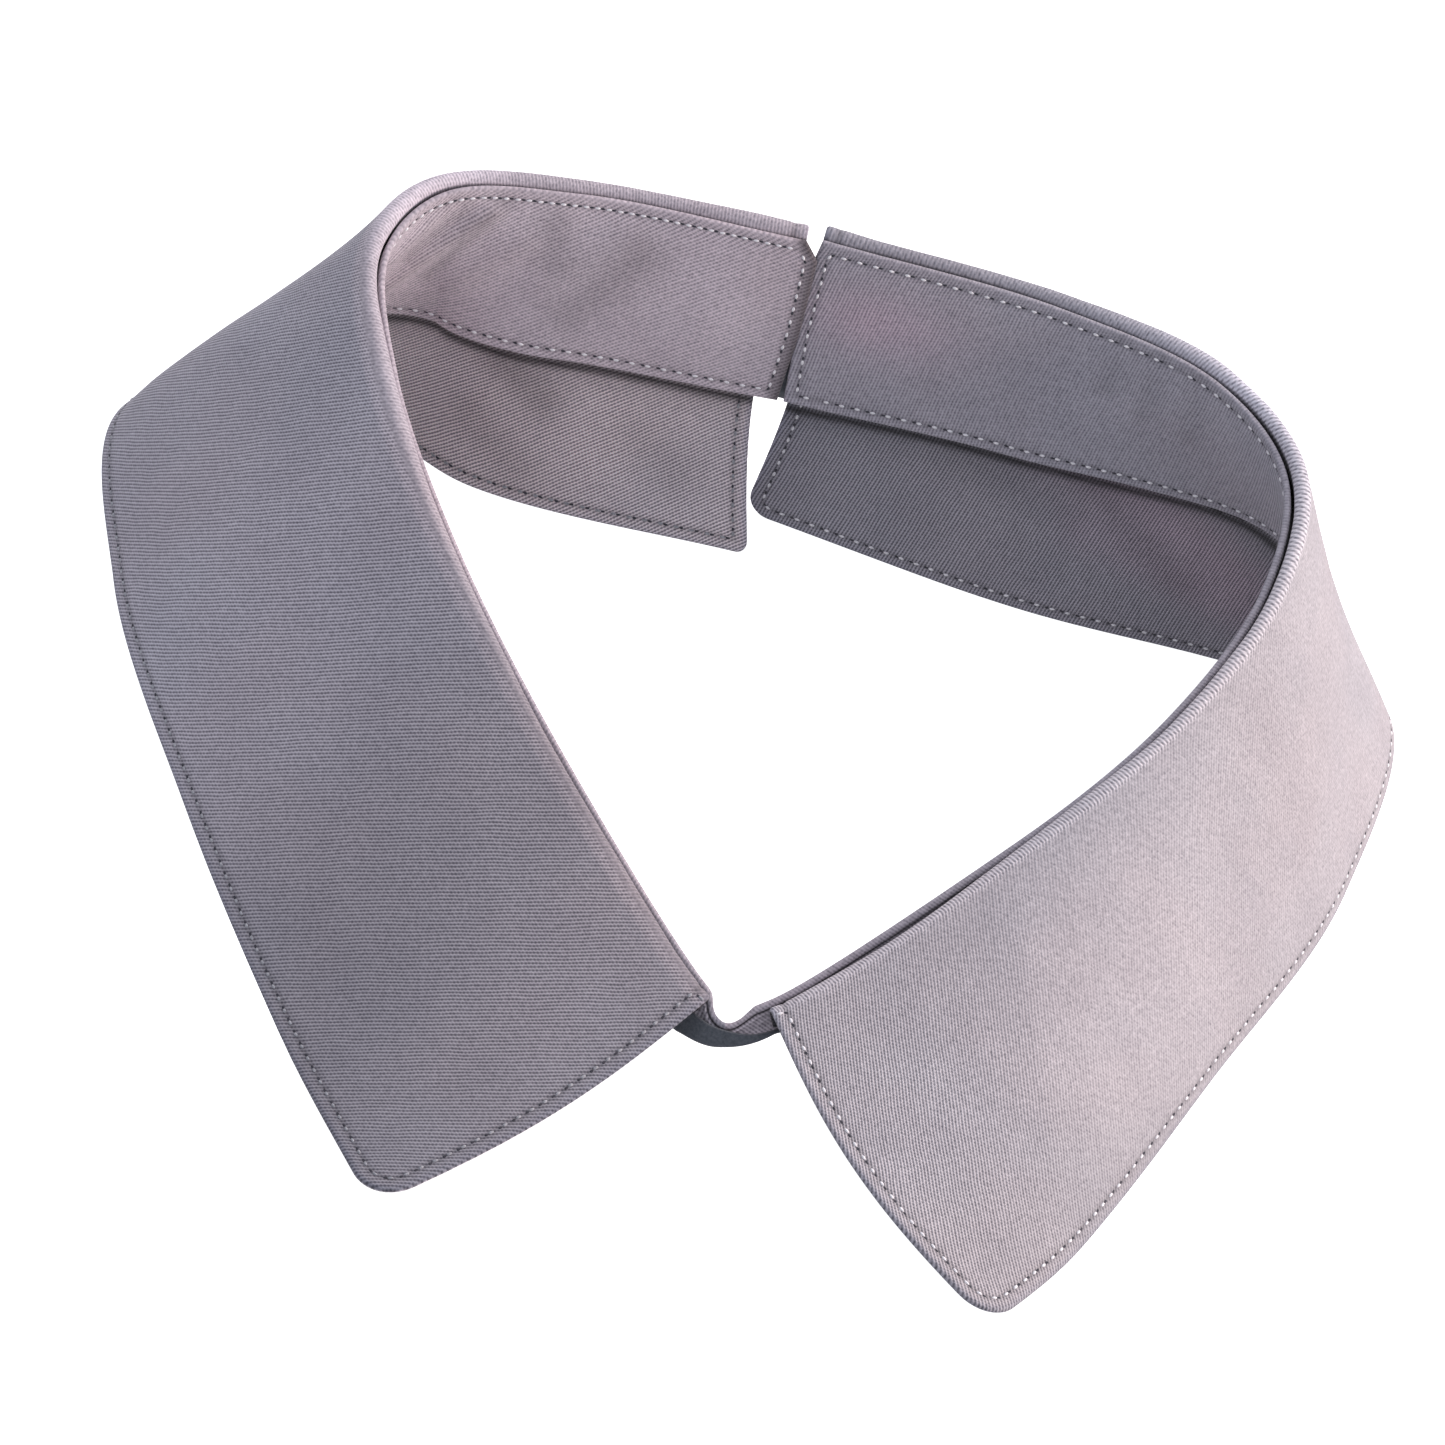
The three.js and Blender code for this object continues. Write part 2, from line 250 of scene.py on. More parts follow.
def curve(points, shares):
    """Points at shares 0 to 1 of a centripetal Catmull-Rom curve through points."""
    knots = np.asarray(points, float)
    knots = np.vstack([2 * knots[0] - knots[1], knots, 2 * knots[-1] - knots[-2]])
    place = np.clip(np.asarray(shares, float), 0, 1) * (len(points) - 1)
    first = np.minimum(place.astype(int), len(points) - 2)
    rest = (place - first)[:, None]
    before, start, end, after = (knots[first + step] for step in range(4))
    gaps = [np.sqrt(np.linalg.norm(b - a, axis=1))[:, None]
            for a, b in ((before, start), (start, end), (end, after))]
    gaps[1] = np.where(gaps[1] < 1e-4, 1, gaps[1])
    leave = (start - before) / gaps[0] - (end - before) / (gaps[0] + gaps[1])
    leave = leave * gaps[1] + end - start
    arrive = (after - end) / gaps[2] - (after - start) / (gaps[1] + gaps[2])
    arrive = arrive * gaps[1] + end - start
    return (start + leave * rest + (3 * (end - start) - 2 * leave - arrive) * rest ** 2
            + (2 * (start - end) + leave + arrive) * rest ** 3)


def column(spec, name, shares):
    values = [row[COLUMNS.index(name)] for row in spec["rows"]]
    return curve([(index, value) for index, value in enumerate(values)], shares)[:, 1:]


def scaled(spec, out, back, up):
    return [spec["side"] * out * NECK_HALF_WIDTH, back * NECK_HALF_DEPTH, up * FOLD_HEIGHT]


def fold_points():
    left = [scaled(LEFT, *row[:3]) for row in reversed(LEFT_ROWS)]
    right = [scaled(RIGHT, *row[:3]) for row in RIGHT_ROWS]
    return left + [scaled(RIGHT, *FRONT_POINT)] + right


def edge_points(spec):
    points = [scaled(spec, *row[3:6]) for row in spec["rows"]]
    sinks = [0 if row[5] > RAISED_EDGE else TABLE_SINK for row in spec["rows"]]
    return [[x, y, z - sink] for (x, y, z), sink in zip(points, sinks)]


FOLD_POINTS = fold_points()


class Stations:
    """Places along one side of the stand, with directions along, out and down its face."""

    def __init__(self, spec, shares):
        shares = np.asarray(shares, float)
        side = spec["side"]
        place = np.clip(0.5 + side * (shares * LAST_ROW + 1) / (2 * (LAST_ROW + 1)), 0, 1)
        step = 1e-4
        self.fold = curve(FOLD_POINTS, place)
        ahead = side * unit(curve(FOLD_POINTS, place + step) - curve(FOLD_POINTS, place - step))
        self.along = ahead
        level = side * unit(np.stack([ahead[:, 1], -ahead[:, 0], 0 * ahead[:, 0]], 1))
        fall = unit(np.array([0, 0, -1]) + ahead * ahead[:, 2:])
        tilt = np.radians(column(spec, "tilt", shares))
        self.down = level * np.cos(tilt) + fall * np.sin(tilt)
        self.out = level * np.sin(tilt) - fall * np.cos(tilt)
        front = np.clip(1 + shares * LAST_ROW, 0, 1)[:, None]
        stand = column(spec, "stand", shares)
        self.height = (FRONT_STAND + (stand - FRONT_STAND) * front) * STAND_HEIGHT

    def at(self, outward, depth):
        return self.fold + self.out * outward + self.down * depth


def front_hump(stations):
    """From 1 at the centre front to 0 where the dip of the stand's rim ends."""
    away = np.linalg.norm(stations.fold - curve(FOLD_POINTS, [0.5]), axis=1, keepdims=True)
    return 1 - smooth(away / FRONT_DIP_REACH)


def draw_in(distance, radius):
    """How far a rounded corner takes an edge in, at a distance from the corner."""
    rest = np.clip(1 - distance / radius, 0, 1)
    return radius * (1 - np.sqrt(1 - rest * rest))


# Distances from an edge at which the grids have lines, so that its roll and its stitched
# groove are round. EDGE_BAND is where the even lines start.
EDGE_LINES = np.array([0, 0.05, 0.14, 0.28, 0.48, 0.75, 1.05, 1.35, 1.6, 1.8, 2, 2.2, 2.4, 2.7,
                       3.1, 3.6])
EDGE_BAND = 4.3
EDGE_BAND_MOST = 0.45


def lengths(points):
    return np.concatenate([[0], np.cumsum(np.linalg.norm(np.diff(points, axis=0), axis=1))])


def leaf_shares(rows):
    """Shares of a leaf's rows, close together at both ends."""
    band = 0.024
    ends = EDGE_LINES / EDGE_BAND * band
    return np.concatenate([ends, np.linspace(band, 1 - band, rows), 1 - ends[::-1]])


class Leaf:
    """Middle surface of one leaf: a grid of points, and the same grid laid flat."""

    def __init__(self, spec):
        self.spec, self.shares = spec, leaf_shares(LEAF_ROWS)
        self.stations = place = Stations(spec, self.shares)
        self.edge = curve(edge_points(spec), self.shares)
        outward = STAND_THICKNESS + FIT_GAP + LEAF_THICKNESS / 2
        back = smooth(self.shares / ROLL_DROP_SPAN)[:, None]
        drop = FRONT_ROLL_DROP + (BACK_ROLL_DROP - FRONT_ROLL_DROP) * back
        centre = place.at(outward + ROLL_RADIUS, drop)
        across = dot(self.edge - centre, place.out)
        below = dot(self.edge - centre, place.down)
        turn = np.arctan2(below, across) + np.pi - np.arccos(ROLL_RADIUS / np.hypot(across, below))
        points, before = [], []
        for step in range(ROOT_STEPS):
            depth = ROOT_DEPTH + (drop - ROOT_DEPTH) * step / ROOT_STEPS
            points.append(place.at(outward, depth))
            before.append(turn * ROLL_RADIUS + depth - drop)
        for step in range(ROLL_STEPS + 1):
            angle = turn * step / ROLL_STEPS
            points.append(centre - place.out * ROLL_RADIUS * np.cos(angle)
                          - place.down * ROLL_RADIUS * np.sin(angle))
            before.append((turn - angle) * ROLL_RADIUS)
        self.start = points[-1]
        self.roll_columns = len(points)
        self.before = np.concatenate(before, 1)
        self.add_fall(points)
        self.points = np.stack(points, 1)
        self.lay_flat()

    def add_fall(self, points):
        spec, place, shares = self.spec, self.stations, self.shares[:, None]
        length = np.linalg.norm(self.edge - self.start, axis=1, keepdims=True)
        corners = [np.linalg.norm(self.edge - end, axis=1, keepdims=True)
                   for end in curve(edge_points(spec), [0, 1])]
        tip = draw_in(corners[0], spec["tip_radius"] * TIP_DRAW)
        heel = draw_in(corners[1], spec["back_radius"])
        reach = length - np.maximum(tip, heel)
        even = (reach - EDGE_BAND) * np.linspace(0, 1, FALL_STEPS + 1)[1:]
        falls = np.concatenate([even, reach - EDGE_LINES[::-1]], 1) / length
        face = -spec["side"] * unit(np.cross(place.along, self.edge - self.start))
        swell = column(spec, "bow", self.shares)
        set_back = smooth((shares - SET_BACK_FROM) / (1 - SET_BACK_FROM))
        back = (spec["front_bulge"] * smooth(1 - shares / FRONT_BULGE_SPAN)
                + spec["back_set_back"] * set_back)
        self.falls, self.length, self.back = falls, length, back
        for index in range(falls.shape[1]):
            fall = falls[:, index:index + 1]
            bow = np.sin(np.pi * fall)
            points.append(self.start + (self.edge - self.start) * fall + face * swell * bow
                          - place.along * back * bow)

    def lay_flat(self):
        """Lays the leaf flat: its rows keep their lengths and their distances."""
        near, far = develop(self.start, self.edge)
        ruling = unit(far - near)
        ahead = unit(np.gradient(near, axis=0))
        across = np.stack([-ahead[:, 1], ahead[:, 0]], 1)
        rows = [near - across * self.before[:, index:index + 1]
                for index in range(self.roll_columns)]
        sideways = np.stack([ruling[:, 1], -ruling[:, 0]], 1)
        bend = dot(unit(self.edge - self.start), self.stations.along)
        for index in range(self.falls.shape[1]):
            fall = self.falls[:, index:index + 1]
            slide = -self.back * np.sin(np.pi * fall)
            rows.append(near + ruling * (self.length * fall + slide * bend)
                        + sideways * slide * np.sqrt(1 - bend ** 2))
        self.flat = np.stack(rows, 1)


def apex(near, far, from_near, from_far):
    """The point ahead of the line from near to far, at those two distances."""
    base = np.linalg.norm(far - near)
    line = (far - near) / base
    share = (from_near ** 2 - from_far ** 2 + base ** 2) / (2 * base)
    rise = math.sqrt(max(from_near ** 2 - share ** 2, 0))
    return near + line * share + rise * np.array([line[1], -line[0]])


def develop(near, far):
    """Two edges of a strip laid flat, row after row, with the rows running along +X."""
    gap = np.linalg.norm
    flat_near, flat_far = [np.zeros(2)], [np.array([0, gap(far[0] - near[0])])]
    for row in range(1, len(near)):
        flat_near.append(apex(flat_near[-1], flat_far[-1],
                              gap(near[row] - near[row - 1]), gap(near[row] - far[row - 1])))
        flat_far.append(apex(flat_near[-1], flat_far[-1],
                             gap(far[row] - near[row]), gap(far[row] - far[row - 1])))
    return np.array(flat_near), np.array(flat_far)


class Stand:
    """Middle surface of the stand, from the left end round the front to the right end."""

    def __init__(self):
        band = EDGE_BAND / SIDE_LENGTH
        even = np.linspace(FRONT_SHARE, 1 - band, STAND_ROWS)
        shares = np.concatenate([even, 1 - EDGE_LINES[::-1] / SIDE_LENGTH])
        left = self.side_rows(LEFT, shares[1:][::-1])
        right = self.side_rows(RIGHT, shares)
        self.points = np.concatenate([left, right])
        self.left_top = lengths(left[:, 0])[-1]
        top, foot = self.points[:, 0], self.points[:, -1]
        near, far = develop(top, foot)
        share = np.linalg.norm(self.points - top[:, None], axis=2, keepdims=True)
        share = share / share[:, -1:]
        self.flat = near[:, None] + (far - near)[:, None] * share
        self.signed = np.concatenate([-shares[1:][::-1], shares])
        self.depth = np.linalg.norm(self.points - top[:, None], axis=2)
        self.front = smooth(1.5 - np.concatenate([shares[1:][::-1], shares]) / SEAM_SPAN)[:, None]
        middle = np.linalg.norm(top - curve(FOLD_POINTS, [0.5]), axis=1, keepdims=True)
        self.seam = SEAM_DEPTH + SEAM_FALL * smooth(middle / FRONT_DIP_REACH)

    def side_rows(self, spec, shares):
        place = Stations(spec, shares)
        rise = smooth(1 - np.abs(shares - RIM_RISE_AT) / RIM_RISE_SPAN)[:, None]
        dip = FRONT_DIP * front_hump(place) - spec["rim_rise"] * rise
        height = place.height - dip
        band = np.minimum(EDGE_BAND, height * EDGE_BAND_MOST)
        lines = EDGE_LINES / EDGE_BAND * band
        even = band + (height - 2 * band) * np.linspace(0, 1, STAND_STEPS)
        depths = dip + np.concatenate([lines, even, height - lines[:, ::-1]], 1)
        end = smooth((shares - 1 + END_FADE) / END_FADE)[:, None]
        middle = (END_CORNER_DEPTH + place.height) / 2
        corner, foot = spec["end_corner"], spec["end_foot"]
        foot_reach = corner * (1 - END_FOOT_SHARE) + foot * END_FOOT_SHARE
        rows = []
        for index in range(depths.shape[1]):
            depth = depths[:, index:index + 1]
            half = np.clip((depth - END_CORNER_DEPTH) / (middle - END_CORNER_DEPTH), 0, 1)
            lower = np.clip((depth - middle) / (place.height - middle), 0, 1)
            reach = np.clip(depth / END_CORNER_DEPTH, 0, 1) * corner + (foot_reach - corner) * half
            reach = reach + (foot - foot_reach) * lower
            rows.append(place.at(STAND_THICKNESS / 2, depth) + place.along * end * reach)
        return np.stack(rows, 1)


def outline_of(flat, closed):
    """The flat outline of a grid. The outline of a leaf leaves out its first columns."""
    parts = [flat[0], flat[:, -1], flat[-1, ::-1], flat[::-1, 0]]
    return np.concatenate(parts if closed else parts[:3])


def edge_distance(flat, outline):
    """Distance of each grid point to the outline, and how far along it the nearest place is."""
    steps = lengths(outline)
    starts, ends = outline[:-1], outline[1:]
    spans = ends - starts
    square = np.maximum((spans ** 2).sum(1), 1e-12)
    best = np.full(flat.shape[:2], np.inf)
    along = np.zeros(flat.shape[:2])
    for row in range(flat.shape[0]):
        offset = flat[row][:, None] - starts[None]
        share = np.clip((offset * spans).sum(2) / square, 0, 1)
        away = np.linalg.norm(offset - share[..., None] * spans, axis=2)
        nearest = away.argmin(1)
        pick = np.arange(len(nearest))
        best[row] = away[pick, nearest]
        along[row] = steps[nearest] + share[pick, nearest] * np.sqrt(square[nearest])
    return best, along


def soft_noise(flat, size, seed):
    """Smooth noise from -1 to 1 over the flat cloth, with bumps about size across."""
    random = np.random.default_rng(seed)
    place = flat / size
    low = np.floor(place.min((0, 1))).astype(int)
    cells = np.floor(place).astype(int) - low
    values = random.uniform(-1, 1, cells.max((0, 1)) + 2)
    rest = smooth(place - np.floor(place))
    x, y = cells[..., 0], cells[..., 1]
    upper = values[x, y] * (1 - rest[..., 0]) + values[x + 1, y] * rest[..., 0]
    lower = values[x, y + 1] * (1 - rest[..., 0]) + values[x + 1, y + 1] * rest[..., 0]
    return upper * (1 - rest[..., 1]) + lower * rest[..., 1]


def grid_normals(points):
    down = np.gradient(points, axis=0)
    over = np.gradient(points, axis=1)
    return unit(np.cross(down, over))


def twill_places(flat, twill, bend):
    """Twill lines crossed on the way to each place, and millimetres along the lines."""
    x, y = flat[..., 0], flat[..., 1]
    bent_x, bent_y = np.minimum(x, STRAIGHT_BEYOND_X), np.maximum(y, STRAIGHT_BEYOND_Y)
    across = twill["x"] + 2 * twill["xx"] * bent_x + twill["xy"] * bent_y
    down = twill["y"] + 2 * twill["yy"] * bent_y + twill["xy"] * bent_x
    turning = twill["xx"] * bent_x ** 2 + twill["xy"] * bent_x * bent_y + twill["yy"] * bent_y ** 2
    lines = across * x + down * y - turning + bend
    along = (x * twill["y"] - y * twill["x"]) / math.hypot(twill["x"], twill["y"])
    return np.stack([lines, along], -1)


def sheet_faces(rows, columns, side):
    """Faces of a closed sheet over a grid: its front, its back and the rim between them."""
    here = (np.arange(rows - 1)[:, None] * columns + np.arange(columns - 1)).ravel()
    under = rows * columns
    quads = np.stack([here, here + columns, here + columns + 1, here + 1], 1)
    rim = np.concatenate([
        np.arange(columns - 1),
        np.arange(rows - 1) * columns + columns - 1,
        (rows - 1) * columns + np.arange(columns - 1, 0, -1),
        np.arange(rows - 1, 0, -1) * columns,
    ])
    after = np.roll(rim, -1)
    edge = np.stack([rim, after, under + after, under + rim], 1)
    front, back = quads, quads[:, ::-1] + under
    if side < 0:
        front, back, edge = front[:, ::-1], back[:, ::-1], edge[:, ::-1]
    return front, back, edge


def on_table(points):
    points[..., 2] = np.maximum(points[..., 2], 0)
    return points


class Cloth:
    """A sheet with two faces, rounded at its edges and pressed in along its stitches."""

    def __init__(self, points, flat, closed, thickness, side, waves, inset=STITCH_INSET):
        self.flat, self.side, self.inset = flat, side, inset
        self.sewn_from = 0
        self.fine_from = np.inf
        self.distance, self.along = edge_distance(flat, outline_of(flat, closed))
        points = points + grid_normals(points) * side * waves(flat, self.distance)[..., None]
        rounded = np.clip(self.distance / EDGE_ROUND, 0, 1)
        half = RIM_HALF + (thickness / 2 - RIM_HALF) * np.sqrt(1 - (1 - rounded) ** 2)
        pull = 1 - STITCH_PULL + STITCH_PULL * np.cos(2 * np.pi * self.along / STITCH_PITCH)
        groove = GROOVE_DEPTH * pull * bell(self.distance - inset, GROOVE_WIDTH)
        self.normals = grid_normals(points) * side
        offset = self.normals * (half - groove)[..., None]
        self.front, self.back = on_table(points + offset), on_table(points - offset)

    def corner_places(self, quads, twills, bend=0):
        """Twill places at the quads' corners. Two twills meet at the middle row, as at a seam."""
        under, columns = self.distance.size, self.distance.shape[1]
        quads = quads % under
        places = [twill_places(self.flat, twill, bend).reshape(-1, 2)[quads] for twill in twills]
        if len(places) == 1:
            return places[0]
        beyond = quads.min(1) // columns >= self.distance.shape[0] // 2
        return np.where(beyond[:, None, None], places[1], places[0])

    def edge_shade(self, rim_shade):
        """Painted shade of the stitched channel and of the rim; a rim value below zero paints
        light.
        """
        channel = bell(self.distance - self.inset, CHANNEL_WIDTH)[..., None]
        rim = smooth(1 - self.distance / RIM_WIDTH)[..., None] * rim_shade
        return (1 - CHANNEL_SHADE * channel) * (1 - rim)

    def mesh(self, name, first, second, shift):
        """The cloth as one closed mesh. First and second are the looks of its two faces."""
        quads = sheet_faces(*self.distance.shape, self.side)
        vertices = np.concatenate([self.front.reshape(-1, 3), self.back.reshape(-1, 3)])
        piece = new_mesh(name, (vertices + shift) * MM, np.concatenate(quads).tolist())
        places = [self.corner_places(part, face["twills"], face["bend"])
                  for part, face in zip(quads, (first, second, first))]
        layer = piece.data.uv_layers.new(name="twill")
        places = np.concatenate(places) / TWILL_UNIT
        layer.data.foreach_set("uv", places.astype(np.float32).ravel())
        reliefs = [np.broadcast_to(face["relief"], self.distance.shape) for face in (first, second)]
        store(piece, "relief", "FLOAT", "value", np.concatenate(reliefs))
        # The vertices keep their tone together with the painted light and shade.
        shade = self.edge_shade(first["rim"])
        tones_and_shading = np.concatenate([(face["tone_and_shading"] * shade).reshape(-1, 3) for face in (first, second)])
        tones_and_shading = np.concatenate([tones_and_shading, np.ones((len(tones_and_shading), 1))], 1)
        store(piece, "tone_and_shading", "FLOAT_COLOR", "color", tones_and_shading)
        return piece


def store(piece, name, kind, field, values):
    """Keeps a value for each vertex in the mesh, where the material reads it."""
    attribute = piece.data.attributes.new(name, kind, "POINT")
    attribute.data.foreach_set(field, values.astype(np.float32).ravel())


def new_mesh(name, vertices, faces):
    data = bpy.data.meshes.new(name)
    data.from_pydata(vertices.tolist(), [], faces)
    data.polygons.foreach_set("use_smooth", [True] * len(data.polygons))
    data.update()
    piece = bpy.data.objects.new(name, data)
    bpy.context.scene.collection.objects.link(piece)
    return piece


def stitch_line(cloth, face_points):
    """Runs of places and outward directions along the line inset from the cloth's edge."""
    level = cloth.distance - cloth.inset
    level[:, :cloth.sewn_from] = np.abs(level[:, :cloth.sewn_from]) + 1
    values = np.concatenate([cloth.along[..., None], face_points, cloth.normals], 2)
    found = []
    for a, b, here, there in ((level[:-1], level[1:], values[:-1], values[1:]),
                              (level[:, :-1], level[:, 1:], values[:, :-1], values[:, 1:])):
        share = (a / np.where(a == b, 1, a - b))[..., None]
        found.append((here * (1 - share) + there * share)[a * b < 0])
    table = np.concatenate(found)
    table = table[table[:, 0].argsort()]
    steps = np.linalg.norm(np.diff(table[:, 1:4], axis=0), axis=1)
    return [run for run in np.split(table, np.flatnonzero(steps > LINE_BREAK) + 1)
            if lengths(run[:, 1:4])[-1] > 2 * STITCH_PITCH]


def capsule(sides=6, rings=5):
    """A unit capsule along X: its points with radius 1 and half length 1."""
    points, faces = [], []
    for ring in range(rings):
        angle = math.pi * (ring + 0.5) / rings
        end, radius = -math.cos(angle), math.sin(angle)
        for turn in range(sides):
            around = 2 * math.pi * turn / sides
            points.append((end, radius * math.cos(around), radius * math.sin(around)))
    points += [(-1, 0, 0), (1, 0, 0)]
    final, first, last = (rings - 1) * sides, rings * sides, rings * sides + 1
    for turn in range(sides):
        beside = (turn + 1) % sides
        for ring in range(0, final, sides):
            faces.append([ring + turn, ring + turn + sides, ring + beside + sides, ring + beside])
        faces.append([first, turn, beside])
        faces.append([last, final + beside, final + turn])
    return np.array(points), faces


def row_of_capsules(name, places, directions, normals, size, shift):
    """Capsules of one size: half length, half width and half height."""
    shape, faces = capsule()
    ahead = unit(directions)
    up = unit(normals - ahead * dot(normals, ahead))
    axes = (ahead, np.cross(up, ahead), up)
    corners = places[:, None] + sum(axis[:, None] * shape[None, :, index:index + 1] * size[index]
                                    for index, axis in enumerate(axes))
    all_faces = [[corner + index * len(shape) for corner in face]
                 for index in range(len(places)) for face in faces]
    return new_mesh(name, (corners.reshape(-1, 3) + shift) * MM, all_faces)


def sew_run(table, outward, random, fine_from):
    """Stitches and needle-hole shade marks along one line: places, directions and normals of each.
    """
    steps = lengths(table[:, 1:4])
    keep = np.concatenate([[True], np.diff(steps) > 1e-4])
    table, steps = table[keep], steps[keep]
    even_pitch = FINE_STITCH_PITCH if table[0, 0] >= fine_from else STITCH_PITCH
    count = max(1, round(steps[-1] / even_pitch))
    pitch = steps[-1] / count
    middles = (np.arange(count) + 0.5) * pitch

    def at(distance):
        return np.stack([np.interp(distance, steps, table[:, index]) for index in range(1, 7)], 1)

    start, end = at(middles - STITCH_LENGTH / 2), at(middles + STITCH_LENGTH / 2)
    middle = (start + end) / 2
    normal = unit(middle[:, 3:]) * outward
    ahead = unit(end[:, :3] - start[:, :3])
    ahead = ahead + np.cross(normal, ahead) * random.normal(0, STITCH_WANDER, (count, 1))
    lift = random.uniform(*STITCH_LIFT, (count, 1))
    between = at(middles[:-1] + (STITCH_LENGTH + HOLE_LENGTH) / 2)
    hole_normal = unit(between[:, 3:]) * outward
    return (middle[:, :3] + normal * lift, ahead, normal,
            between[:, :3] - hole_normal * HOLE_SINK, ahead[:-1], hole_normal)


def sew(name, cloth, outward, shift, seed):
    """Stitches along a cloth's edge, each with a dark mark of painted needle-hole shade just past
    it.
    """
    random = np.random.default_rng(seed)
    runs = []
    for table in stitch_line(cloth, cloth.front if outward > 0 else cloth.back):
        fine = table[:, 0] >= cloth.fine_from
        runs += [sew_run(part, outward, random, cloth.fine_from)
                 for part in (table[~fine], table[fine]) if len(part) > 2]
    joined = [np.concatenate([run[index] for run in runs]) for index in range(6)]
    stitch = (STITCH_LENGTH / 2, STITCH_RADIUS, STITCH_RADIUS * STITCH_FLATNESS)
    hole_shading = (HOLE_LENGTH / 2, HOLE_RADIUS, HOLE_HEIGHT)
    return [row_of_capsules(name + "_stitches", *joined[:3], stitch, shift),
            row_of_capsules(name + "_needle_hole_shadows", *joined[3:], hole_shading, shift)]


class Nodes:
    """Small helper that adds and links the nodes of one material."""

    def __init__(self, name):
        self.material = bpy.data.materials.new(name)
        self.material.use_nodes = True
        self.tree = self.material.node_tree
        self.tree.nodes.clear()
        self.output = self.add("ShaderNodeOutputMaterial")
        self.shader = self.add("ShaderNodeBsdfPrincipled")
        self.tree.links.new(self.shader.outputs[0], self.output.inputs[0])

    def add(self, kind, **settings):
        node = self.tree.nodes.new(kind)
        for key, value in settings.items():
            setattr(node, key, value)
        return node

    def feed(self, socket, value):
        if isinstance(value, bpy.types.NodeSocket):
            self.tree.links.new(value, socket)
        else:
            socket.default_value = value

    def math(self, operation, *values):
        node = self.add("ShaderNodeMath", operation=operation)
        for socket, value in zip(node.inputs, values):
            self.feed(socket, value)
        return node.outputs[0]

    def noise(self, scale, detail=2.0, roughness=0.5):
        """Solid noise in the piece's own space."""
        node = self.add("ShaderNodeTexNoise")
        self.feed(node.inputs["Vector"], self.add("ShaderNodeTexCoord").outputs["Object"])
        node.inputs["Scale"].default_value = scale
        node.inputs["Detail"].default_value = detail
        node.inputs["Roughness"].default_value = roughness
        return node.outputs["Fac"]

    def attribute(self, name, output):
        return self.add("ShaderNodeAttribute", attribute_name=name).outputs[output]

    def shade(self, values):
        """Sets inputs of the shader by their names."""
        for name, value in values.items():
            self.feed(self.shader.inputs[name], value)

    def ramp(self, factor, stops):
        node = self.add("ShaderNodeValToRGB")
        self.feed(node.inputs["Fac"], factor)
        elements = node.color_ramp.elements
        while len(elements) < len(stops):
            elements.new(0.5)
        for element, (place, colour) in zip(elements, stops):
            element.position = place
            element.color = (*colour, 1)
        return node.outputs["Color"]

    def mix(self, blend, factor, first, second):
        node = self.add("ShaderNodeMix", data_type="RGBA", blend_type=blend)
        self.feed(node.inputs[0], factor)
        self.feed(node.inputs[6], first)
        self.feed(node.inputs[7], second)
        return node.outputs[2]

    def bump(self, height, strength, distance):
        node = self.add("ShaderNodeBump")
        node.inputs["Strength"].default_value = strength
        node.inputs["Distance"].default_value = distance
        self.feed(node.inputs["Height"], height)
        self.feed(self.shader.inputs["Normal"], node.outputs[0])


# Colours of the twill's grooves, threads and floats, in linear values, and its soft tints as
# scale, detail and stops of a noise.
TWILL_STOPS = [(0.0, (0.17, 0.155, 0.18)), (0.5, (0.44, 0.4, 0.435)), (1.0, (0.66, 0.605, 0.65))]
TWILL_TINTS = [
    (34, 2.0, [(0.35, (0.98, 0.993, 1.01)), (0.65, (1.018, 0.996, 1.0))]),
    (80, 3.0, [(0.3, (0.94, 0.94, 0.945)), (0.7, (1.05, 1.05, 1.045))]),
]
TWILL_FINISH = {
    "Roughness": 0.85,
    "Specular IOR Level": 0.2,
    "Sheen Weight": 0.15,
    "Sheen Roughness": 0.5,
    "Sheen Tint": (1.0, 0.95, 0.97, 1),
}

# How far a twill line wanders in lines, how far its floats lie from the next line's in
# pitches, the heights of floats and grain beside a rib's, and how strongly they colour it.
LINE_WANDER = 0.9
FLOAT_STEP = 0.37
FLOAT_HEIGHT = 0.4
GRAIN_HEIGHT = 2.0
RELIEF_CONTRAST = 0.36
TWILL_BUMP = 0.00006

# The dark and the light colour of the grained materials, in linear values. The left leaf's thread
# is the pale thread darkened with painted shade, and the needle holes' colour is painted shade.
SLATE = [(0.035, 0.042, 0.055), (0.075, 0.085, 0.105)]
PALE_THREAD = [(0.8, 0.77, 0.8), (1.0, 0.97, 1.0)]
SHADED_THREAD = [(0.25, 0.25, 0.28), (0.42, 0.41, 0.45)]
NEEDLE_HOLE_SHADING = [(0.03, 0.03, 0.04), (0.06, 0.055, 0.07)]


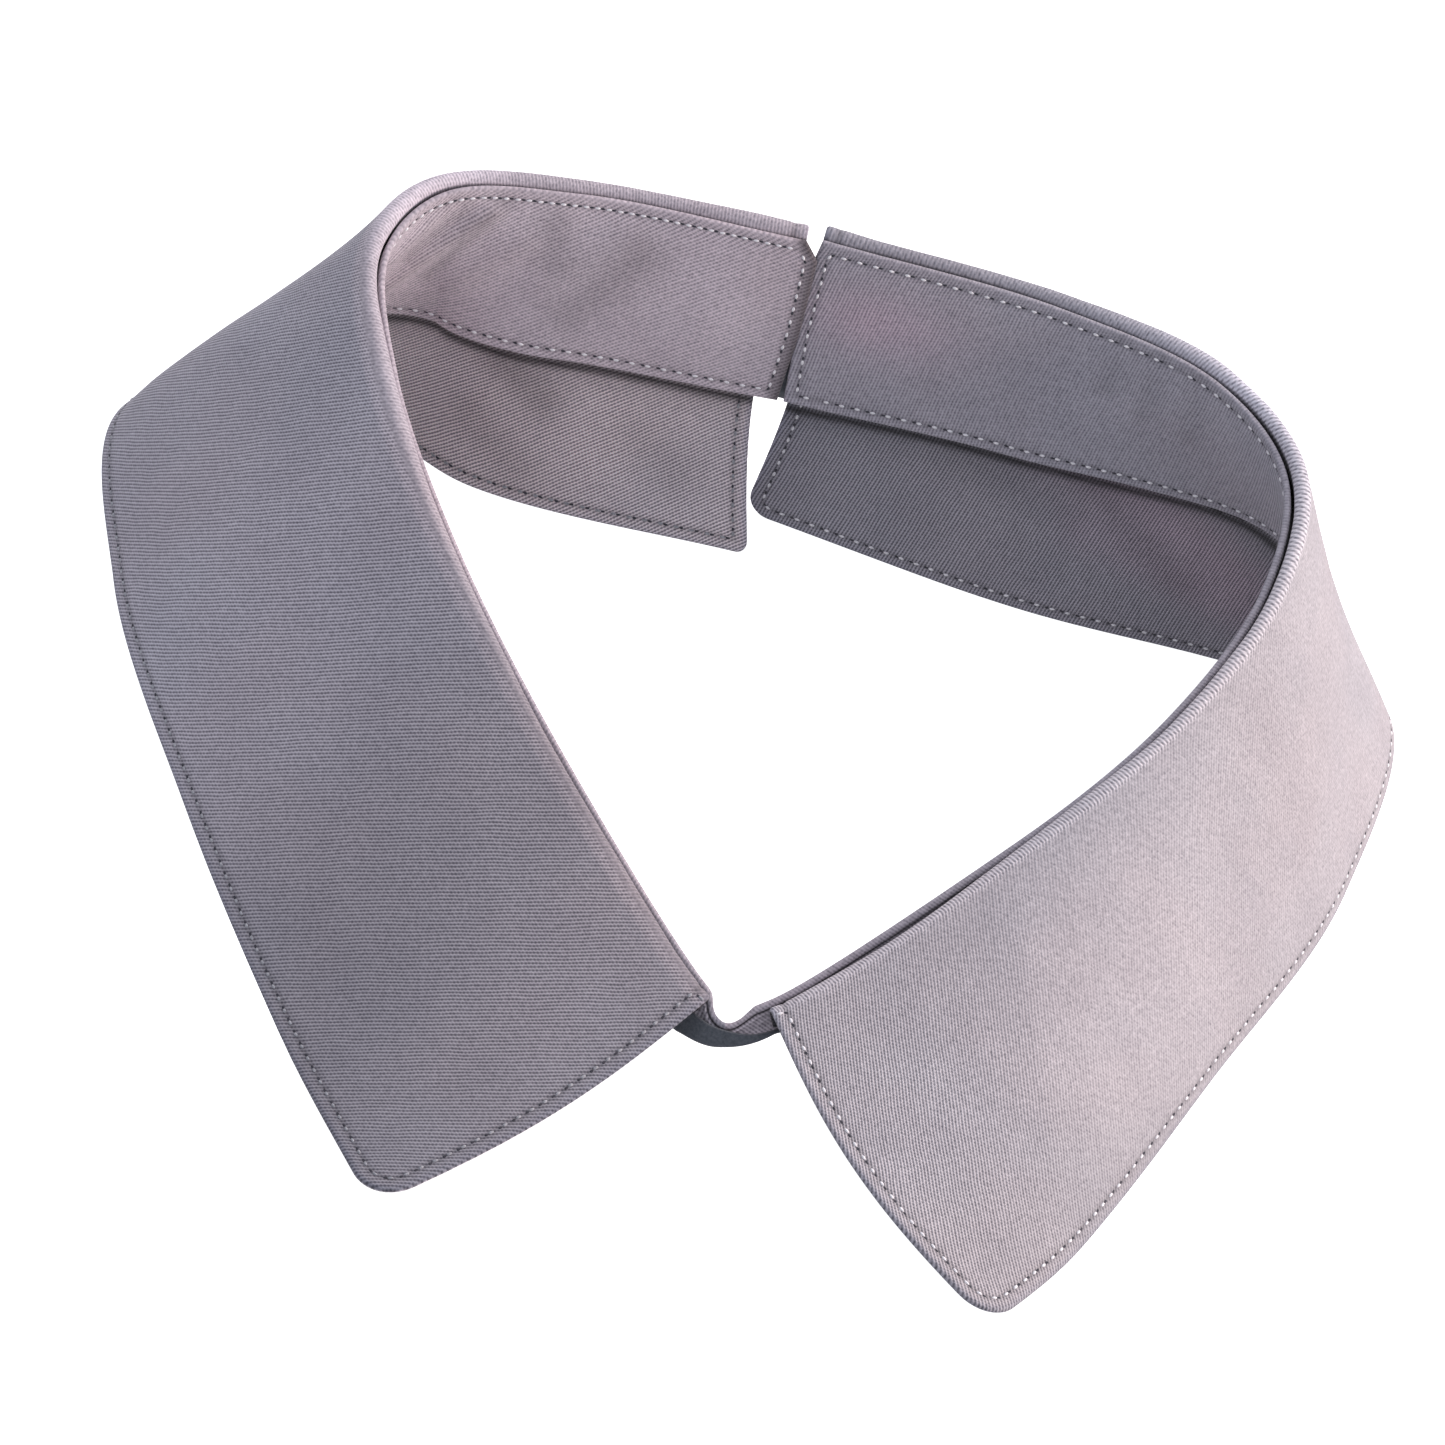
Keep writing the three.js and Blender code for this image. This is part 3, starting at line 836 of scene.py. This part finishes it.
def twill_material():
    """Fine twill: slanting ribs of small floats, with soft uneven tints."""
    nodes = Nodes("lilac_twill")
    place = nodes.add("ShaderNodeSeparateXYZ")
    nodes.feed(place.inputs[0], nodes.add("ShaderNodeUVMap", uv_map="twill").outputs[0])
    lines = nodes.math("MULTIPLY_ADD", nodes.noise(160, 1.0), LINE_WANDER,
                       nodes.math("MULTIPLY", place.outputs[0], TWILL_UNIT))
    rib = nodes.math("COSINE", nodes.math("MULTIPLY", lines, 2 * math.pi))
    floats = nodes.math("MULTIPLY_ADD", nodes.math("FLOOR", lines), FLOAT_STEP,
                        nodes.math("MULTIPLY", place.outputs[1], TWILL_UNIT / BEAD_PITCH))
    bead = nodes.math("COSINE", nodes.math("MULTIPLY", floats, 2 * math.pi))
    ribs = nodes.math("MULTIPLY", nodes.math("MULTIPLY_ADD", bead, FLOAT_HEIGHT, rib),
                      nodes.attribute("relief", "Fac"))
    grain = nodes.math("SUBTRACT", nodes.noise(1900, 1.0, 0.6), 0.5)
    height = nodes.math("MULTIPLY_ADD", grain, GRAIN_HEIGHT, ribs)
    cloth = nodes.ramp(nodes.math("MULTIPLY_ADD", height, RELIEF_CONTRAST, 0.5), TWILL_STOPS)
    for scale, detail, stops in TWILL_TINTS:
        tint = nodes.ramp(nodes.noise(scale, detail), stops)
        cloth = nodes.mix("MULTIPLY", 1.0, cloth, tint)
    # The tone at each vertex carries the painted light and shade.
    cloth = nodes.mix("MULTIPLY", 1.0, cloth, nodes.attribute("tone_and_shading", "Color"))
    nodes.shade({"Base Color": cloth, **TWILL_FINISH})
    nodes.bump(height, 0.6, TWILL_BUMP)
    return nodes.material


def grained_material(name, scale, colours, roughness, sheen=0, bump=0, detail=1.0):
    """A fine grain between a dark and a light colour."""
    nodes = Nodes(name)
    grain = nodes.noise(scale, detail)
    colour = nodes.ramp(grain, list(zip((0.3, 0.7), colours)))
    nodes.shade({"Base Color": colour, "Roughness": roughness, "Sheen Weight": sheen})
    if bump:
        nodes.bump(grain, 0.5, bump)
    return nodes.material


def dress(piece, material):
    piece.data.materials.clear()
    piece.data.materials.append(material)
    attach(piece, "root")
    return piece


# Soft waves: the height and size of their bumps, and how far from the edge they start and are
# full, in millimetres.
LEAF_WAVES = [(0.28, 24), (0.12, 11)]
LEAF_WAVES_REACH = (1, 9)
LEAF_FINE_WAVES = [(0.04, 4.5)]
LEAF_FINE_REACH = (0, 3)
STAND_WAVES = [(0.05, 5), (0.14, 14)]
STAND_WAVES_REACH = (1, 5)


def bumps(flat, table, seed):
    return sum(height * soft_noise(flat, size, seed + index)
               for index, (height, size) in enumerate(table))


def grow(value, start, full):
    """From 0 where the value is start to 1 where it is full."""
    return smooth((value - start) / (full - start))


def leaf_waves(seed):
    def waves(flat, distance):
        broad = bumps(flat, LEAF_WAVES, seed) * grow(distance, *LEAF_WAVES_REACH)
        fine = bumps(flat, LEAF_FINE_WAVES, seed + len(LEAF_WAVES))
        return (broad + fine) * grow(distance, *LEAF_FINE_REACH)
    return waves


# Creases pressed into the stand's flat cloth: start, end, half width and depth in millimetres.
STAND_CREASES = [
    [61, 8, 50, 0, 1.3, 0.7],
    [60, 17, 45, 3, 1.5, 0.8],
    [52, 20, 40, 8, 2.2, 0.4],
    [36, 14, 26, 4, 3.0, 0.3],
    [128, -179, 142, -187, 1.5, 0.5],
    [132, -174, 147, -183, 1.5, 0.5],
    [136, -169, 151, -177, 1.7, 0.5],
]


# Soft places of painted shade on the stand and on the leaves' under faces, where a negative depth
# paints light, and pinker places, with the same columns. Their depth is a share of the tone.
STAND_SHADES = [
    [36, 4, 35, 10, 3.0, 0.22],
    [24, 8, 32, 19, 3.5, 0.26],
    [48.5, 2.5, 57, 10, 1.6, 0.26],
    [43, 1, 53, 16, 1.4, 0.24],
    [14, 3, 10, 16, 4.0, -0.08],
]
LEFT_UNDER_SHADES = [
    [161, -49, 168, -53, 3.5, 0.3],
    [168, -42, 178, -46, 4.0, 0.2],
    [176, -64, 184, -68, 4.0, 0.15],
]
RIGHT_UNDER_SHADES = [
    [154, -47, 154, -25, 3.0, 0.16],
    [168, -60, 160, -44, 3.5, 0.12],
]
RIGHT_UNDER_TINTS = [
    [152, -53, 145, -20, 7.0, 1.0],
    [160, -40, 150, -14, 4.0, 0.5],
]
PINK_TINT = np.array([0.2, 0.04, 0.08])


def creases(flat, table):
    """Depth of all the creases of a table over the flat cloth."""
    total = np.zeros(flat.shape[:2])
    for from_x, from_y, to_x, to_y, half_width, depth in table:
        start = np.array([from_x, from_y])
        line = np.array([to_x, to_y]) - start
        share = np.clip(((flat - start) * line).sum(2) / (line ** 2).sum(), 0, 1)
        away = np.linalg.norm(flat - start - share[..., None] * line, axis=2)
        total += depth * bell(away, half_width)
    return total


def stand_waves(seed):
    def waves(flat, distance):
        soft = bumps(flat, STAND_WAVES, seed)
        return (soft + creases(flat, STAND_CREASES)) * grow(distance, *STAND_WAVES_REACH)
    return waves


def narrow_sheet(name, places, thickness, top, foot, shift):
    """A narrow strip behind the stand, each row from its top to its foot."""
    rows = []
    for spec, share in places:
        place = Stations(spec, [share])
        first, last = top(place), foot(place)
        rows.append([place.at(STAND_THICKNESS + FIT_GAP + thickness / 2,
                              first + (last - first) * step / STRIP_STEPS)[0]
                     for step in range(STRIP_STEPS + 1)])
    points = np.array(rows)
    offset = grid_normals(points) * thickness / 2
    vertices = np.concatenate([(points + offset).reshape(-1, 3), (points - offset).reshape(-1, 3)])
    faces = np.concatenate(sheet_faces(*points.shape[:2], 1)).tolist()
    return new_mesh(name, (vertices + shift) * MM, faces)


def front_strip(shift):
    def top(place):
        return STRIP_TOP_DEPTH - STRIP_RISE * front_hump(place)

    def foot(place):
        lean = np.clip(place.fold[:, :1] * STRIP_LEAN, -STRIP_LEAN_MOST, STRIP_LEAN_MOST)
        return place.height + STRIP_OVERHANG - lean

    steps = np.linspace(STRIP_SPAN, FRONT_SHARE, STRIP_ROWS)
    places = [(LEFT, share) for share in steps] + [(RIGHT, share) for share in steps[:-1][::-1]]
    return narrow_sheet("front_strip_cloth", places, STRIP_THICKNESS, top, foot, shift)


def back_tab(shift):
    def top(place):
        return TAB_TOP_DEPTH

    def foot(place):
        return TAB_TOP_DEPTH + TAB_HEIGHT

    steps = np.linspace(1 - TAB_SPAN, 1, TAB_ROWS)
    places = [(RIGHT, share) for share in steps] + [(LEFT, share) for share in steps[::-1]]
    return narrow_sheet("back_tab_cloth", places, TAB_THICKNESS, top, foot, shift)


def frame_shift(stand_points):
    """From the tables' place to the frame's, found where the stand lies in both."""
    low, high = (np.array(corner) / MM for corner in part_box("stand_band"))
    centre = (stand_points.min((0, 1)) + stand_points.max((0, 1))) / 2
    shift = (low + high) / 2 - centre
    shift[2] = 0
    return shift


def look(twills, tone_and_shading, relief, bend=0, rim=RIM_SHADE):
    """How one face of the cloth looks: its twill, its tone with painted light and shade, and how
    strongly the twill shows.
    """
    return dict(twills=twills, tone_and_shading=np.array(tone_and_shading), relief=relief, bend=bend, rim=rim)


def under_foot(leaf):
    """The leaf's inner face is dark where the stand's foot keeps the light off it."""
    place = leaf.stations
    sideways = unit(np.cross([0, 0, 1], LIGHT_FROM))
    axes = np.stack([sideways, np.cross(LIGHT_FROM, sideways)], 1)
    away = edge_distance(leaf.points @ axes, place.at(0, place.height) @ axes)[0][..., None]
    below = dot(leaf.points - place.fold[:, None], place.down[:, None]) - place.height[:, None]
    away = np.where(below < 0, 0, away)
    line = FOOT_SHADE * bell(away, FOOT_WIDTH)
    return (1 - line) * (1 - FOOT_SOFT_SHADE * bell(away, FOOT_SOFT_WIDTH))


def roll_shade(leaf):
    """Painted shade on the leaf below the stand's rim, where the two lie close together."""
    place = leaf.stations
    depth = dot(leaf.points - place.fold[:, None], place.down[:, None])
    depth[:, leaf.roll_columns // 2:] = 0
    return 1 - CREVICE_SHADE * smooth((depth - CREVICE_DEPTH) / CREVICE_FADE)


# Painted light and shade of the faces, a cooler painted shade toward the right roll's back,
# and how strongly the twill shows on them.
LEFT_LIGHTING_TONE = np.array([1.0, 1.02, 1.05])
LEFT_UNDER_LIGHTING_TONE = np.array([1.74, 1.65, 1.57])
RIGHT_LIGHTING_TONE = np.array([1.06, 1.07, 1.04])
RIGHT_UNDER_LIGHTING_TONE = np.array([0.95, 0.975, 1.0])
COOL_SHADE_TINT = np.array([-0.04, 0, 0.06])
LEFT_RELIEF = 1.1
LEFT_ROLL_RELIEF = 0.45
LEFT_UNDER_RELIEF = 1.6
RIGHT_RELIEF = 0.3
RIGHT_TIP_RELIEF = 0.75
RIGHT_ROLL_RELIEF = 0.9
RIGHT_BACK_RELIEF = 0.45
RIGHT_UNDER_RELIEF = 1.7

# Painted light and shade along each roll: the place in millimetres from the front, and the tone
# there.
LEFT_ROLL_SHADING = [(0, 0.85), (118, 0.85), (132, 1.2), (143, 1.2), (154, 0.82)]
RIGHT_ROLL_SHADING = [(0, 1.2), (120, 1.25), (133, 1.35), (150, 0.9), (165, 0.72)]

# The left fold has a lighter, pinker painted highlight to its width, which fades out at the second
# value. The left leaf has painted shade toward its tip and the right one down its fall. Spans are
# in millimetres.
FOLD_HIGHLIGHT = np.array([0.26, 0.2, 0.17])
FOLD_FADE = (0.9, 2.2)
LEFT_TIP_SHADE = 0.4
LEFT_TIP_SPAN = (100, 30)
RIGHT_FALL_SHADE = 0.14
RIGHT_FALL_SPAN = (20, 50)
RIGHT_TIP_SPAN = (50, 0)
BACK_SPAN = (100, 145)
BACK_RELIEF_SPAN = (120, 165)


def along_roll(leaf, span):
    """From 0 to 1 over a span of the roll's length from the front, for each row of a leaf."""
    return grow(lengths(leaf.start), *span)[:, None, None]


def roll_shading(leaf, table):
    """The painted light and shade of a roll for each row of its leaf."""
    places, tones_and_shading = zip(*table)
    return np.interp(lengths(leaf.start), places, tones_and_shading)[:, None, None]


def left_looks(leaf):
    """The left leaf has a painted highlight on its soft fold and painted shade toward its tip."""
    on_roll = slice(leaf.roll_columns)
    on_rows = np.zeros((len(leaf.falls), leaf.roll_columns))
    below_fold = np.concatenate([on_rows, leaf.falls * leaf.length], 1)
    fold = (1 - grow(below_fold, *FOLD_FADE))[..., None] * FOLD_HIGHLIGHT
    tip = LEFT_TIP_SHADE * grow(leaf.flat[..., :1], *LEFT_TIP_SPAN)
    # Painted shade below the stand's rim, and painted light and shade along the roll.
    tone_and_shading = LEFT_LIGHTING_TONE * (1 - tip) * (1 + fold) * roll_shade(leaf)
    tone_and_shading[:, on_roll] *= roll_shading(leaf, LEFT_ROLL_SHADING)
    relief = np.full(below_fold.shape, LEFT_RELIEF)
    relief[:, on_roll] = LEFT_ROLL_RELIEF
    # The under face gets painted shade in soft folds and the painted shadow of the stand's foot.
    shades = 1 - creases(leaf.flat, LEFT_UNDER_SHADES)[..., None]
    under = LEFT_UNDER_LIGHTING_TONE * under_foot(leaf) * shades
    return (look([LEFT_OUTER_TWILL], tone_and_shading, relief),
            look([LEFT_UNDER_TWILL], under, LEFT_UNDER_RELIEF))


def right_bend(leaf):
    """Twill lines that the right leaf's back and roll add at each place."""
    steps = np.gradient(lengths(leaf.start))[:, None]
    turned = np.cumsum(along_roll(leaf, BACK_SPAN)[:, 0] * steps, axis=0)
    bend = np.zeros(leaf.flat.shape[:2]) + RIGHT_BACK_TWILL * turned
    bend[:, :leaf.roll_columns] += RIGHT_ROLL_BEND * leaf.before
    return bend


def right_looks(leaf):
    """The ribs are nearly lost on the middle of the right leaf, and show at its tip and roll."""
    on_roll = slice(leaf.roll_columns)
    relief = RIGHT_RELIEF + RIGHT_TIP_RELIEF * grow(leaf.flat[..., 0], *RIGHT_TIP_SPAN)
    back_relief = RIGHT_BACK_RELIEF * along_roll(leaf, BACK_RELIEF_SPAN)[..., 0]
    relief[:, on_roll] = RIGHT_ROLL_RELIEF - back_relief
    # Painted shade down the fall and below the stand's rim, and painted light and shade along the
    # roll, cooler toward its back.
    fall = RIGHT_FALL_SHADE * grow(leaf.flat[..., 1:], *RIGHT_FALL_SPAN)
    tone_and_shading = RIGHT_LIGHTING_TONE * (1 - fall) * roll_shade(leaf)
    cool = 1 + along_roll(leaf, BACK_SPAN) * COOL_SHADE_TINT
    tone_and_shading[:, on_roll] *= roll_shading(leaf, RIGHT_ROLL_SHADING) * cool
    # The under face gets painted shade and the painted shadow of the stand's foot, and pinker
    # places.
    shades = 1 - creases(leaf.flat, RIGHT_UNDER_SHADES)[..., None]
    pink = 1 + creases(leaf.flat, RIGHT_UNDER_TINTS)[..., None] * PINK_TINT
    under = RIGHT_UNDER_LIGHTING_TONE * under_foot(leaf) * shades * pink
    return (look([RIGHT_OUTER_TWILL], tone_and_shading, relief, right_bend(leaf)),
            look([RIGHT_UNDER_TWILL], under, RIGHT_UNDER_RELIEF))


def press_seam(stand, cloth):
    """The seam and the thin piping that show on the band's outer face between the leaves."""
    seam = SEAM_PRESS * bell(stand.depth - stand.seam, SEAM_WIDTH)
    piping = PIPING_RISE * bell(stand.depth - stand.seam - PIPING_DROP, PIPING_WIDTH)
    cloth.back -= cloth.normals * (stand.front * (piping - seam))[..., None]


# Painted light and shade of the stand's two halves, how far they meet as a share of a side, the
# painted shade in its creases, and the pinker place near its right end: from the end and below
# the rim, and its reach, in millimetres.
STAND_LEFT_LIGHTING_TONE = np.array([1.4, 1.32, 1.32])
STAND_RIGHT_LIGHTING_TONE = np.array([1.0, 1.02, 1.05])
HALVES_MEET = 0.3
CREASE_SHADE = 0.25
PINK_PLACE = (7, 11)
PINK_REACH = (7, 6)
SEAM_SHADE = 0.95

# The stand's rim has painted shade to this depth and its foot a little painted light. The twill is
# softer on the rim.
STAND_RIM_DEPTH = 2
STAND_RIM_SHADE = 0.2
STAND_FOOT_SHADE = -0.08
STAND_RELIEF = 0.75
SOFT_RIM = 0.4
SOFT_RIM_DEPTH = 1.2


def stand_tone_and_shading(stand):
    """Painted light makes the left half of the stand a little warmer and lighter than the right."""
    left = smooth(0.5 - stand.signed / HALVES_MEET)[:, None, None]
    tone_and_shading = left * STAND_LEFT_LIGHTING_TONE + (1 - left) * STAND_RIGHT_LIGHTING_TONE
    # Painted shade in the creases, the soft places and the left end.
    tone_and_shading = tone_and_shading * (1 - CREASE_SHADE * creases(stand.flat, STAND_CREASES)[..., None])
    tone_and_shading = tone_and_shading * (1 - creases(stand.flat, STAND_SHADES)[..., None])
    left_end = smooth(1 - (1 + stand.signed) * SIDE_LENGTH / END_BAND)[:, None, None]
    tone_and_shading = tone_and_shading * (1 - END_SHADE * left_end)
    right_end = (1 - stand.signed)[:, None] * SIDE_LENGTH
    pink = (bell(right_end - PINK_PLACE[0], PINK_REACH[0])
            * bell(stand.depth - PINK_PLACE[1], PINK_REACH[1]))
    return tone_and_shading * (1 + pink[..., None] * PINK_TINT)


def stand_looks(stand):
    """The stand's inner face, and its outer face with the seam and painted shade in the crevice."""
    tone_and_shading = stand_tone_and_shading(stand)
    seam = stand.front * bell(stand.depth - stand.seam, SEAM_WIDTH)
    crevice = (1 - stand.front) * smooth((stand.depth - OUTER_CREVICE_DEPTH) / CREVICE_FADE)
    outer = tone_and_shading * (1 - SEAM_SHADE * seam - CREVICE_SHADE * crevice)[..., None]
    rim = np.where(stand.depth < STAND_RIM_DEPTH, STAND_RIM_SHADE, STAND_FOOT_SHADE)[..., None]
    relief = STAND_RELIEF - SOFT_RIM * smooth(1 - stand.depth / SOFT_RIM_DEPTH)
    return look(STAND_TWILLS, tone_and_shading, relief, 0, rim), look(STAND_TWILLS, outer, relief, 0, rim)


def build_leaf(spec, name, seed, looks, shift, twill, thread, hole_shading):
    leaf = Leaf(spec)
    cloth = Cloth(leaf.points, leaf.flat, False, LEAF_THICKNESS, -spec["side"], leaf_waves(seed))
    cloth.sewn_from = leaf.roll_columns
    piece = cloth.mesh(name + "_cloth", *looks(leaf), shift)
    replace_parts(dress(piece, twill), name)
    sewn = sew(name + "_outer", cloth, 1, shift, seed)
    sewn += sew(name + "_under", cloth, -1, shift, seed + 1)
    return piece, dress_sewing(sewn, thread, hole_shading)


def build_stand(stand, shift, twill, thread, hole_shading):
    cloth = Cloth(stand.points, stand.flat, True, STAND_THICKNESS, 1, stand_waves(31),
                  STAND_STITCH_INSET)
    press_seam(stand, cloth)
    cloth.fine_from = cloth.along.max() - stand.left_top
    band = cloth.mesh("stand_band_cloth", *stand_looks(stand), shift)
    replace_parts(dress(band, twill), "stand_band")
    return band, dress_sewing(sew("stand_inner", cloth, 1, shift, 41), thread, hole_shading)


def build_collar():
    twill = twill_material()
    slate = grained_material("slate_lining", 2600, SLATE, 0.6, 0.2, 0.00006, detail=2.0)
    pale = grained_material("pale_thread", 3000, PALE_THREAD, 0.55, 0.3, 0.00005)
    thread_in_shade = grained_material("shaded_thread", 3000, SHADED_THREAD, 0.55, 0.3, 0.00005)
    hole_shading = grained_material("needle_hole_shade", 2000, NEEDLE_HOLE_SHADING, 0.9, detail=2.0)
    stand = Stand()
    shift = frame_shift(stand.points)
    leaves = [build_leaf(LEFT, "left_leaf", 11, left_looks, shift, twill, thread_in_shade, hole_shading),
              build_leaf(RIGHT, "right_leaf", 21, right_looks, shift, twill, pale, hole_shading)]
    band = build_stand(stand, shift, twill, pale, hole_shading)
    strip = dress(front_strip(shift), slate)
    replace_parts(strip, "front_strip")
    tab = dress(back_tab(shift), slate)
    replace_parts(tab, "back_tab")
    declare_sheets(leaves, band)


def declare_sheets(leaves, band):
    """Goes over the leaves with their flat sizes and areas, and turns each piece's sewing into a
    list, which is not kept.
    """
    for (leaf, sewn), flat, area in zip(leaves, LEAF_CUTS, LEAF_AREAS):
        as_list(sewn)
    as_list(band[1])


def dress_sewing(sewn, thread, hole_shading):
    for stitches, shaded_holes in zip(sewn[::2], sewn[1::2]):
        dress(stitches, thread)
        dress(shaded_holes, hole_shading)
    return sewn


def add_camera():
    elevation, azimuth, roll = (math.radians(angle) for angle in
                                (CAMERA_ELEVATION, CAMERA_AZIMUTH, CAMERA_ROLL))
    back = Vector((math.sin(azimuth) * math.cos(elevation),
                   -math.cos(azimuth) * math.cos(elevation), math.sin(elevation)))
    right = Vector((math.cos(azimuth), math.sin(azimuth), 0))
    up = back.cross(right)
    across = right * math.cos(roll) - up * math.sin(roll)
    upward = right * math.sin(roll) + up * math.cos(roll)
    data = bpy.data.cameras.new("camera")
    data.lens = CAMERA_LENS
    data.sensor_width = 36
    data.clip_start = 0.05
    data.clip_end = 20
    camera = bpy.data.objects.new("camera", data)
    matrix = Matrix((across, upward, back)).transposed().to_4x4()
    matrix.translation = (Vector(AIM) + back * CAMERA_DISTANCE) * MM
    camera.matrix_world = matrix
    bpy.context.scene.collection.objects.link(camera)
    bpy.context.scene.camera = camera


# The studio's even light: from this height to that one its strength goes from little to full.
SKY_RANGE = {"From Min": -0.35, "From Max": 0.35, "To Min": 0.18, "To Max": 0.72}
SKY_COLOUR = (0.93, 0.965, 1.06, 1)

# The lights' places in metres, sizes, powers and colours, and where they aim.
LIGHTS = [
    ("key", (1.32, -0.25, 0.36), 0.6, 14, (1, 0.88, 0.81)),
    ("top", (0.55, 0.75, 0.85), 0.7, 7, (1, 0.9, 0.86)),
]
LIGHTS_AIM = (0, 0, 0.02)
FLOOR_HALF = 3
FLOOR_FINISH = {
    "Base Color": (0.9, 0.9, 0.9, 1),
    "Roughness": 1,
    "Specular IOR Level": 0,
    "Emission Color": (1, 1, 1, 1),
    "Emission Strength": 0.9,
}


def add_area_light(name, place, size, power, colour):
    data = bpy.data.lights.new(name, "AREA")
    data.shape = "DISK"
    data.size = size
    data.energy = power
    data.color = colour
    light = bpy.data.objects.new(name, data)
    light.location = place
    aim = Vector(LIGHTS_AIM) - Vector(place)
    light.rotation_euler = aim.to_track_quat("-Z", "Y").to_euler()
    bpy.context.scene.collection.objects.link(light)


def add_sky():
    world = bpy.data.worlds.new("studio")
    bpy.context.scene.world = world
    world.use_nodes = True
    tree = world.node_tree
    background = tree.nodes["Background"]
    parts = tree.nodes.new("ShaderNodeSeparateXYZ")
    tree.links.new(tree.nodes.new("ShaderNodeTexCoord").outputs["Generated"], parts.inputs[0])
    sky = tree.nodes.new("ShaderNodeMapRange")
    tree.links.new(parts.outputs[2], sky.inputs["Value"])
    for name, value in SKY_RANGE.items():
        sky.inputs[name].default_value = value
    tree.links.new(sky.outputs[0], background.inputs["Strength"])
    background.inputs["Color"].default_value = SKY_COLOUR


def add_floor():
    nodes = Nodes("pale_floor")
    nodes.shade(FLOOR_FINISH)
    corners = np.array([[-1, -1, 0], [1, -1, 0], [1, 1, 0], [-1, 1, 0]]) * FLOOR_HALF
    floor = new_mesh("floor", corners, [[0, 1, 2, 3]])
    floor.data.materials.append(nodes.material)
    floor.visible_diffuse = False


add_camera()
build_collar()
add_sky()
for light in LIGHTS:
    add_area_light(*light)
add_floor()
bpy.context.scene.view_settings.view_transform = "Standard"
